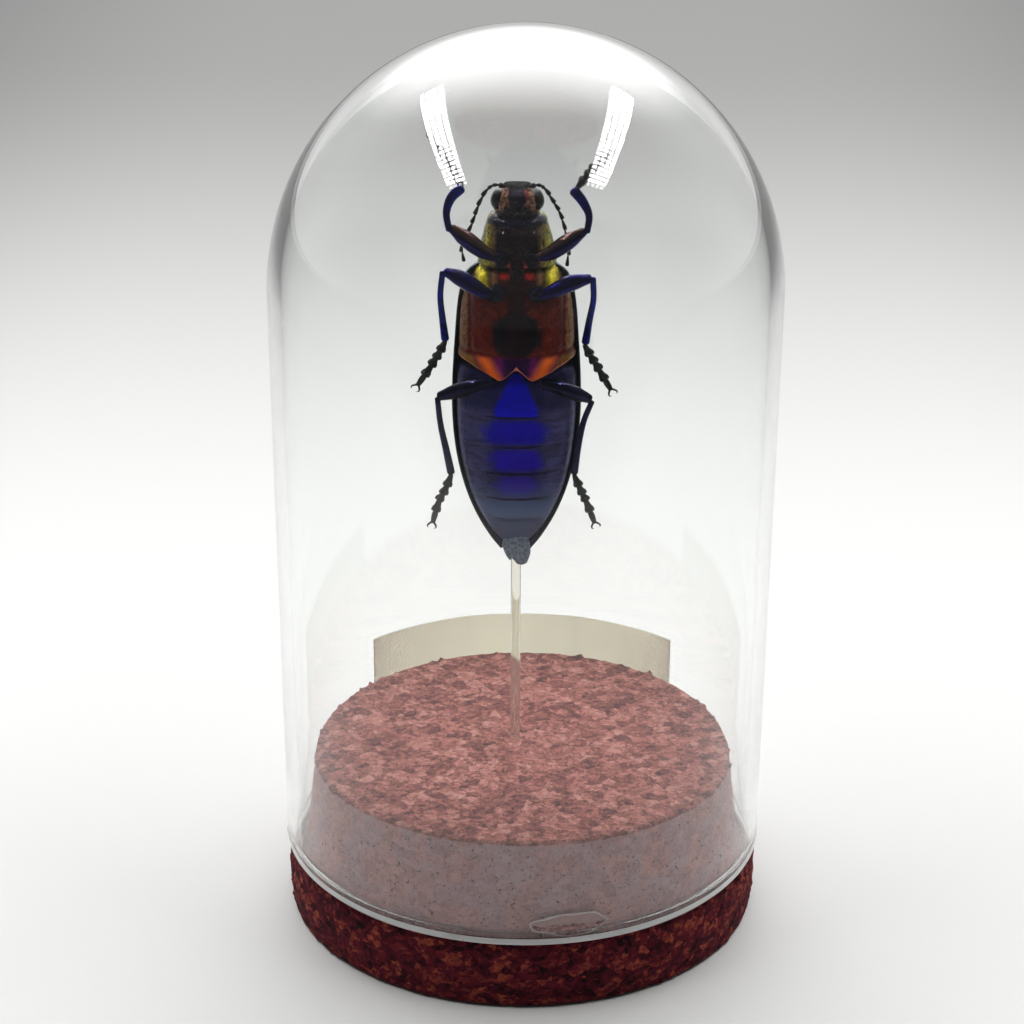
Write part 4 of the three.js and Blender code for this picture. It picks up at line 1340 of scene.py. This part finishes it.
# The two lobes of the tail, as points of (x, y, z, half width, half depth)
BROAD_LOBE = (
    (0.25, -0.95, 3.4, 1.3, 0.6),
    (0.35, -1.1, 2.6, 1.42, 0.75),
    (0.6, -1.4, 1.6, 1.25, 0.7),
    (0.75, -1.5, 0.75, 0.8, 0.45),
)
NARROW_LOBE = (
    (-1.05, -0.9, 3.2, 0.45, 0.5),
    (-1.1, -1.0, 2.6, 0.5, 0.55),
    (-0.9, -1.2, 1.6, 0.36, 0.4),
    (-0.62, -1.3, 0.85, 0.14, 0.2),
)
TAIL_HAIRS = 26


def make_tail():
    """Last segment: one broad lobe and one narrow one, with a few stiff hairs."""
    bm = bmesh.new()
    limb(bm, BROAD_LOBE, sides=28, rings=14)
    limb(bm, NARROW_LOBE, sides=20, rings=12)

    def relief(place):
        slits = hill(place.x, 0.15, 0.22) + hill(place.x, 0.85, 0.18)
        return noise.noise(place * 2.2) * 0.05 - 0.20 * slits * hill(place.z, 1.9, 1.4)

    sculpt(bm, relief)
    for number in range(TAIL_HAIRS):
        wobble = jitter(number + 400)
        root = Vector((0.75 + wobble.x * 0.62, -1.5 + wobble.y * 0.2, 0.6))
        hair(bm, root, root + Vector((wobble.x * 0.15, wobble.y * 0.1, -0.28)), 0.018)
    material = black_material("tail_cuticle", (0.10, 0.12, 0.16))
    add_cuticle("tail_segment_lobes", bm, [material], "tail_segment")


def make_wing_cases(beetle):
    """Thin arched shells with raised ribs, parted at the tips where the rod comes in between."""
    material = wing_case_material(beetle)
    ribs = 9
    thickness = 0.42
    fold_start = 0.94
    notch_width = 1.5
    notch_top = 6.2
    low, high = WING_CASES[0][0], WING_CASES[-1][0]
    for side, name in ((-1, "left"), (1, "right")):
        bm = bmesh.new()
        bmesh.ops.create_grid(bm, x_segments=72, y_segments=150, size=0.5)
        for vert in bm.verts:
            across, up = vert.co.x + 0.5, vert.co.y + 0.5
            height = low + (high - low) * up**0.9
            half_width, _, back = between(WING_CASES, height)
            notch = notch_width * max(1 - (height / notch_top) ** 1.6, 0) ** 0.8 + 0.04
            seam_turn = math.asin(min(notch / half_width, 1))
            turn = seam_turn + (math.pi / 2 - seam_turn) * min(across / fold_start, 1)
            shoulder = soft(height, 36.2, 37.3) * 0.25
            waves = math.cos(across * ribs * math.tau)
            rib = waves * soft(0.92 - across, 0, 0.1) * soft(across, 0.0, 0.05)
            raised = 0.045 * rib * soft(height, 3, 6) * soft(37.2 - height, 0, 2)
            x = (half_width - 0.02 + raised) * math.sin(turn)
            y = (back - 0.03 + raised - shoulder) * math.cos(turn)
            fold = max(across - fold_start, 0) / (1 - fold_start)
            y -= fold * thickness
            x -= fold * fold * 0.12
            dent = 0.10 * hill(across, 0.45, 0.3) * hill(height, 35.4, 1.6)
            vert.co = Vector((side * (x - dent), y - dent, height))
        bmesh.ops.recalc_face_normals(bm, faces=bm.faces)
        outward = sum(face.normal.y * face.calc_area() for face in bm.faces)
        if outward < 0:
            bmesh.ops.reverse_faces(bm, faces=bm.faces)
        bmesh.ops.solidify(bm, geom=bm.faces[:], thickness=thickness)
        node = f"wing_case_{name}"
        add_piece(f"{node}_ribbed", bm, [material], [node], BEETLE_PLACE)


def make_legs(beetle):
    blue = tuple(beetle.leg_blue)
    materials = {
        "fore": leg_material("fore_leg_cuticle", blue, streak=0.85),
        "mid": leg_material("mid_leg_cuticle", blue),
        "hind": leg_material("hind_leg_cuticle", (0.010, 0.012, 0.050)),
        "tibia": leg_material("shin_cuticle", (0.003, 0.010, 0.18)),
        "coxa": black_material("hip_cuticle", (0.004, 0.004, 0.012), 0.9),
        "tarsus": black_material("foot_cuticle", (0.010, 0.010, 0.011)),
        "spine": hair_material("bristle", (0.03, 0.025, 0.03)),
    }
    for place, leg in LEGS.items():
        pair = place.split("_")[0]
        sizes = LEG_PAIRS[pair]
        make_femur(place, leg, sizes, [materials[pair], materials["coxa"]])
        shin = materials["hind" if pair == "hind" else "tibia"]
        make_tibia(place, leg, sizes, [shin, materials["spine"]])
        make_tarsus(place, leg, [materials["tarsus"]])


def widened(route, half_widths):
    return [(*place, width, width * LEG_FLATNESS) for place, width in zip(route, half_widths)]


def make_femur(place, leg, sizes, materials):
    """Hip ball, the small ring beside it, and the spindle-shaped thigh."""
    bm = bmesh.new()
    limb(bm, widened(leg["femur"], sizes["femur"]), sides=24, rings=18)
    hip = Vector(leg["coxa"])
    start = Vector(leg["femur"][0])
    radius = sizes["coxa"]

    def relief(spot):
        return noise.noise(spot * 1.7) * 0.04

    sculpt(bm, relief)
    inward = Vector((-0.25 if hip.x > 0 else 0.25, 0.25, 0))
    hip_verts = ball(bm, hip + inward, (radius * 1.15, radius * 0.8, radius * 0.85), 28)
    hip_verts += ball(bm, hip.lerp(start, 0.7), (0.6, 0.52, 0.5), 20)
    for vert in hip_verts:
        vert.co += vert.normal * noise.noise(vert.co * 1.9) * 0.3
    second_material(faces_of(hip_verts))
    add_cuticle(f"{place}_femur_shell", bm, materials, f"{place}_femur")


def make_tibia(place, leg, sizes, materials):
    """Slender shin with two rows of short spines and a pair of spurs at its end."""
    bm = bmesh.new()
    points = widened(leg["tibia"], sizes["tibia"])
    limb(bm, points, sides=20, rings=22)
    rows = route_rows(points)
    for number, share in enumerate(steps(0.12, 0.98, 22)):
        x, y, z, half_width, _ = between(rows, share)
        _, along, wide = heading(rows, share, min(share + 0.03, 1))
        for hand in (-1, 1):
            wobble = jitter(number * 2 + hand + len(place) * 31)
            root = Vector((x, y, z)) + wide * hand * half_width * 0.92 + Vector((0, wobble.y * 0.1, 0))
            tip = root + wide * hand * 0.13 + along * (0.2 + wobble.x * 0.06)
            first = len(bm.faces)
            hair(bm, root, tip, 0.022)
            bm.faces.ensure_lookup_table()
            second_material(bm.faces[first:])
    end, along, wide = heading(rows, 0.95, 1)
    for hand in (-1, 1):
        root = end + wide * hand * 0.25
        hair(bm, root, root + along * 0.62 + wide * hand * 0.16, 0.05)
    add_cuticle(f"{place}_tibia_shell", bm, materials, f"{place}_tibia")


def make_tarsus(place, leg, materials):
    """Five segments, four of them with two soft lobes at the end, and a pair of curved claws."""
    rows = route_rows(leg["tarsus"])
    bm = bmesh.new()
    for number in range(TARSUS_SEGMENTS):
        low = number / TARSUS_SEGMENTS
        high = low + 1.05 / TARSUS_SEGMENTS
        last = number == TARSUS_SEGMENTS - 1
        start = Vector(between(rows, low))
        end, along, wide = heading(rows, low, min(high, 1))
        points = []
        for share, swell in ((0, 0.28), (0.45, 0.4), (1, 0.3 if last else 0.52)):
            spot = start.lerp(end, share)
            points.append((*spot, swell, swell * 0.85))
        limb(bm, points, sides=12, rings=7)
        if not last:
            for hand in (-1, 1):
                root = start.lerp(end, 0.55) + wide * hand * 0.14
                tip = end + wide * hand * 0.42 + along * 0.18 + Vector((0, 0.12, 0))
                lobe = ((*root, 0.2, 0.19), (*root.lerp(tip, 0.6), 0.3, 0.22), (*tip, 0.19, 0.12))
                limb(bm, lobe, sides=10, rings=5)
    end, along, wide = heading(rows, 0.92, 1)
    for hand in (-1, 1):
        claw = []
        for share, out, half_width in CLAW:
            spot = end + along * 0.85 * share + wide * hand * out + Vector((0, 0.2 * share * share, 0))
            claw.append((*spot, half_width, half_width))
        limb(bm, claw, sides=8, rings=10, blunt=0.5)
    add_cuticle(f"{place}_tarsus_lobes", bm, materials, f"{place}_tarsus")


# Studio

CAMERA_PLACE = Vector((0, -274.52, 161.19))
CAMERA_PITCH = math.radians(21.866)
CAMERA_YAW = math.radians(-0.305)
CAMERA_ROLL = math.radians(0.276)

SENSOR_WIDTH = 36
CLIP_NEAR, CLIP_FAR = 0.01, 20

# The main soft light comes from above and behind
LAMP_DIRECTION = (0, 0.68, 0.733)

# The white sheet on the floor ends in front of the specimen, fades to the sides and greys towards the back as
# painted shade, and two lamp strips hang at its sides
SHEET_END = -160
SHEET_FADE = 40
SHEET_SIDE = 190
SIDE_FADE = 110
SHEET_BACK = 300
BACK_FADE = 235
STRIP_SIDE = 195
STRIP_MIDDLE = 15
STRIP_HEIGHT = 420
FLOOR_METRES = 4
LAMP_ROWS = 24
LAMP_COLUMNS = 4
LAMP_PITCH = 16
LAMP_HALF = 5.6


def make_camera(studio):
    camera = bpy.data.objects.new("camera", bpy.data.cameras.new("camera"))
    bpy.context.scene.collection.objects.link(camera)
    out = math.cos(CAMERA_PITCH)
    forward = Vector((math.sin(CAMERA_YAW) * out, math.cos(CAMERA_YAW) * out, -math.sin(CAMERA_PITCH)))
    level = forward.cross(Vector((0, 0, 1))).normalized()
    upright = level.cross(forward)
    right = level * math.cos(CAMERA_ROLL) + upright * math.sin(CAMERA_ROLL)
    up = upright * math.cos(CAMERA_ROLL) - level * math.sin(CAMERA_ROLL)
    turned = Matrix((right, up, -forward)).transposed().to_4x4()
    camera.matrix_world = Matrix.Translation(CAMERA_PLACE * MM) @ turned
    camera.data.lens = studio.lens
    camera.data.sensor_width = SENSOR_WIDTH
    camera.data.clip_start = CLIP_NEAR
    camera.data.clip_end = CLIP_FAR
    bpy.context.scene.camera = camera


def floor_material(studio):
    """A white sheet that ends in front of the specimen, where the glass then mirrors nothing bright. It fades
    towards the sides and greys towards the back, and the greying is painted shade.
    """
    shader = Shader("pale_floor")
    colour = tuple(studio.floor_colour)
    front = shader.y.rise(SHEET_END - SHEET_FADE, SHEET_END + SHEET_FADE)
    sides = abs(shader.x).rise(SHEET_SIDE + SIDE_FADE, SHEET_SIDE - SIDE_FADE)
    # The floor greys towards the back: painted shade
    back = shader.y.rise(SHEET_BACK + BACK_FADE, SHEET_BACK - BACK_FADE)
    sheet = front * (0.25 + sides * 0.75) * (0.45 + back * 0.55)
    base = shader.mix(sheet, tuple(studio.table_colour), colour)
    return shader.finish(base_color=base, roughness=0.7)


def make_floor(studio):
    bm = bmesh.new()
    bmesh.ops.create_circle(bm, cap_ends=True, radius=FLOOR_METRES, segments=96)
    floor = new_object("studio_floor", bm, [floor_material(studio)])


def make_world(studio):
    """A sky that is bright overhead, pale behind, and dim on the camera's side."""
    world = bpy.data.worlds.new("studio_world")
    world.use_nodes = True
    nodes = Nodes(world.node_tree)
    place = nodes.node("ShaderNodeTexCoord").outputs["Generated"]
    parts = nodes.node("ShaderNodeSeparateXYZ", None, {"Vector": place})
    behind = Tone(nodes, parts.outputs["Y"]).rise(-0.5, 0.5)
    level = behind * (studio.sky - studio.sky_front) + studio.sky_front
    sockets = {0: place, 1: LAMP_DIRECTION}
    towards = nodes.node("ShaderNodeVectorMath", {"operation": "DOT_PRODUCT"}, sockets)
    zenith = Tone(nodes, towards.outputs["Value"]).rise(0.75, 1.0)
    background = nodes.tree.nodes["Background"]
    nodes.plug(background.inputs["Color"], (0.95, 0.95, 0.94))
    nodes.plug(background.inputs["Strength"], level + zenith * studio.overhead)
    bpy.context.scene.world = world


def make_lamp_strip(name, x, radiance):
    """A strip of small square lamps, which the rounded top of the glass mirrors as dots."""
    glow = {"emission_color": (1, 1, 1), "emission_strength": radiance}
    material = Shader(f"{name}_glow").finish(base_color=(0, 0, 0), **glow)
    bm = bmesh.new()
    for row in range(LAMP_ROWS):
        for column in range(LAMP_COLUMNS):
            across = (column - (LAMP_COLUMNS - 1) / 2) * LAMP_PITCH
            along = (row - (LAMP_ROWS - 1) / 2) * LAMP_PITCH
            place = Vector((x + across, STRIP_MIDDLE + along, STRIP_HEIGHT)) * MM
            square = {"x_segments": 1, "y_segments": 1, "size": LAMP_HALF * MM}
            bmesh.ops.create_grid(bm, matrix=Matrix.Translation(place), **square)
    bmesh.ops.reverse_faces(bm, faces=bm.faces)
    strip = new_object(name, bm, [material])
    strip.visible_camera = False


def make_studio(studio):
    make_camera(studio)
    make_floor(studio)
    make_world(studio)
    make_lamp_strip("left_strip", -STRIP_SIDE, studio.strip)
    make_lamp_strip("right_strip", STRIP_SIDE, studio.strip)
    scene = bpy.context.scene
    scene.view_settings.view_transform = "Standard"
    scene.view_settings.look = "None"


class SPECIMEN_OT_glass_dome(Operator):
    """Make the blown glass dome"""

    bl_idname = "specimen.glass_dome"
    bl_label = "Glass Dome"

    def execute(self, context):
        make_glass_dome(context.scene.case_settings)
        return {"FINISHED"}


class SPECIMEN_OT_cork_base(Operator):
    """Make the cork base"""

    bl_idname = "specimen.cork_base"
    bl_label = "Cork Base"

    def execute(self, context):
        make_cork_base(context.scene.case_settings)
        return {"FINISHED"}


class SPECIMEN_OT_label(Operator):
    """Make the curled paper label"""

    bl_idname = "specimen.label"
    bl_label = "Paper Label"

    def execute(self, context):
        make_paper_label(context.scene.case_settings)
        return {"FINISHED"}


class SPECIMEN_OT_rod(Operator):
    """Make the clear rod"""

    bl_idname = "specimen.rod"
    bl_label = "Clear Rod"

    def execute(self, context):
        make_clear_rod(context.scene.case_settings)
        return {"FINISHED"}


class SPECIMEN_OT_glue(Operator):
    """Make the dabs of glue"""

    bl_idname = "specimen.glue"
    bl_label = "Glue Dabs"

    def execute(self, context):
        make_glue_dabs()
        return {"FINISHED"}


class SPECIMEN_OT_body(Operator):
    """Make the beetle's abdomen, thorax, head and tail"""

    bl_idname = "specimen.body"
    bl_label = "Beetle Body"

    def execute(self, context):
        beetle = context.scene.beetle_settings
        make_abdomen(beetle)
        make_hind_thorax(beetle)
        make_prothorax(beetle)
        make_head(beetle)
        make_tail()
        return {"FINISHED"}


class SPECIMEN_OT_antennae(Operator):
    """Make the two antennae"""

    bl_idname = "specimen.antennae"
    bl_label = "Antennae"

    def execute(self, context):
        make_antennae()
        return {"FINISHED"}


class SPECIMEN_OT_wing_cases(Operator):
    """Make the two wing cases"""

    bl_idname = "specimen.wing_cases"
    bl_label = "Wing Cases"

    def execute(self, context):
        make_wing_cases(context.scene.beetle_settings)
        return {"FINISHED"}


class SPECIMEN_OT_legs(Operator):
    """Make the six legs"""

    bl_idname = "specimen.legs"
    bl_label = "Legs"

    def execute(self, context):
        make_legs(context.scene.beetle_settings)
        return {"FINISHED"}


class SPECIMEN_OT_studio(Operator):
    """Make the floor, the lights and the camera"""

    bl_idname = "specimen.studio"
    bl_label = "Studio"

    def execute(self, context):
        make_studio(context.scene.studio_settings)
        return {"FINISHED"}


OPERATORS = (
    SPECIMEN_OT_studio,
    SPECIMEN_OT_cork_base,
    SPECIMEN_OT_label,
    SPECIMEN_OT_rod,
    SPECIMEN_OT_glue,
    SPECIMEN_OT_body,
    SPECIMEN_OT_antennae,
    SPECIMEN_OT_wing_cases,
    SPECIMEN_OT_legs,
    SPECIMEN_OT_glass_dome,
)


class SPECIMEN_PT_panel(Panel):
    """Lists the pieces of the specimen"""

    bl_idname = "SPECIMEN_PT_panel"
    bl_label = "Beetle Under Glass"
    bl_space_type = "VIEW_3D"
    bl_region_type = "UI"
    bl_category = "Specimen"

    def draw(self, context):
        for operator in OPERATORS:
            self.layout.operator(operator.bl_idname)


CLASSES = (CaseSettings, BeetleSettings, StudioSettings, *OPERATORS, SPECIMEN_PT_panel)


def register():
    for item in CLASSES:
        bpy.utils.register_class(item)
    bpy.types.Scene.case_settings = PointerProperty(type=CaseSettings)
    bpy.types.Scene.beetle_settings = PointerProperty(type=BeetleSettings)
    bpy.types.Scene.studio_settings = PointerProperty(type=StudioSettings)


def unregister():
    del bpy.types.Scene.studio_settings
    del bpy.types.Scene.beetle_settings
    del bpy.types.Scene.case_settings
    for item in reversed(CLASSES):
        bpy.utils.unregister_class(item)


def main():
    register()
    for operator in OPERATORS:
        group, name = operator.bl_idname.split(".")
        getattr(getattr(bpy.ops, group), name)()


if __name__ == "__main__":
    main()
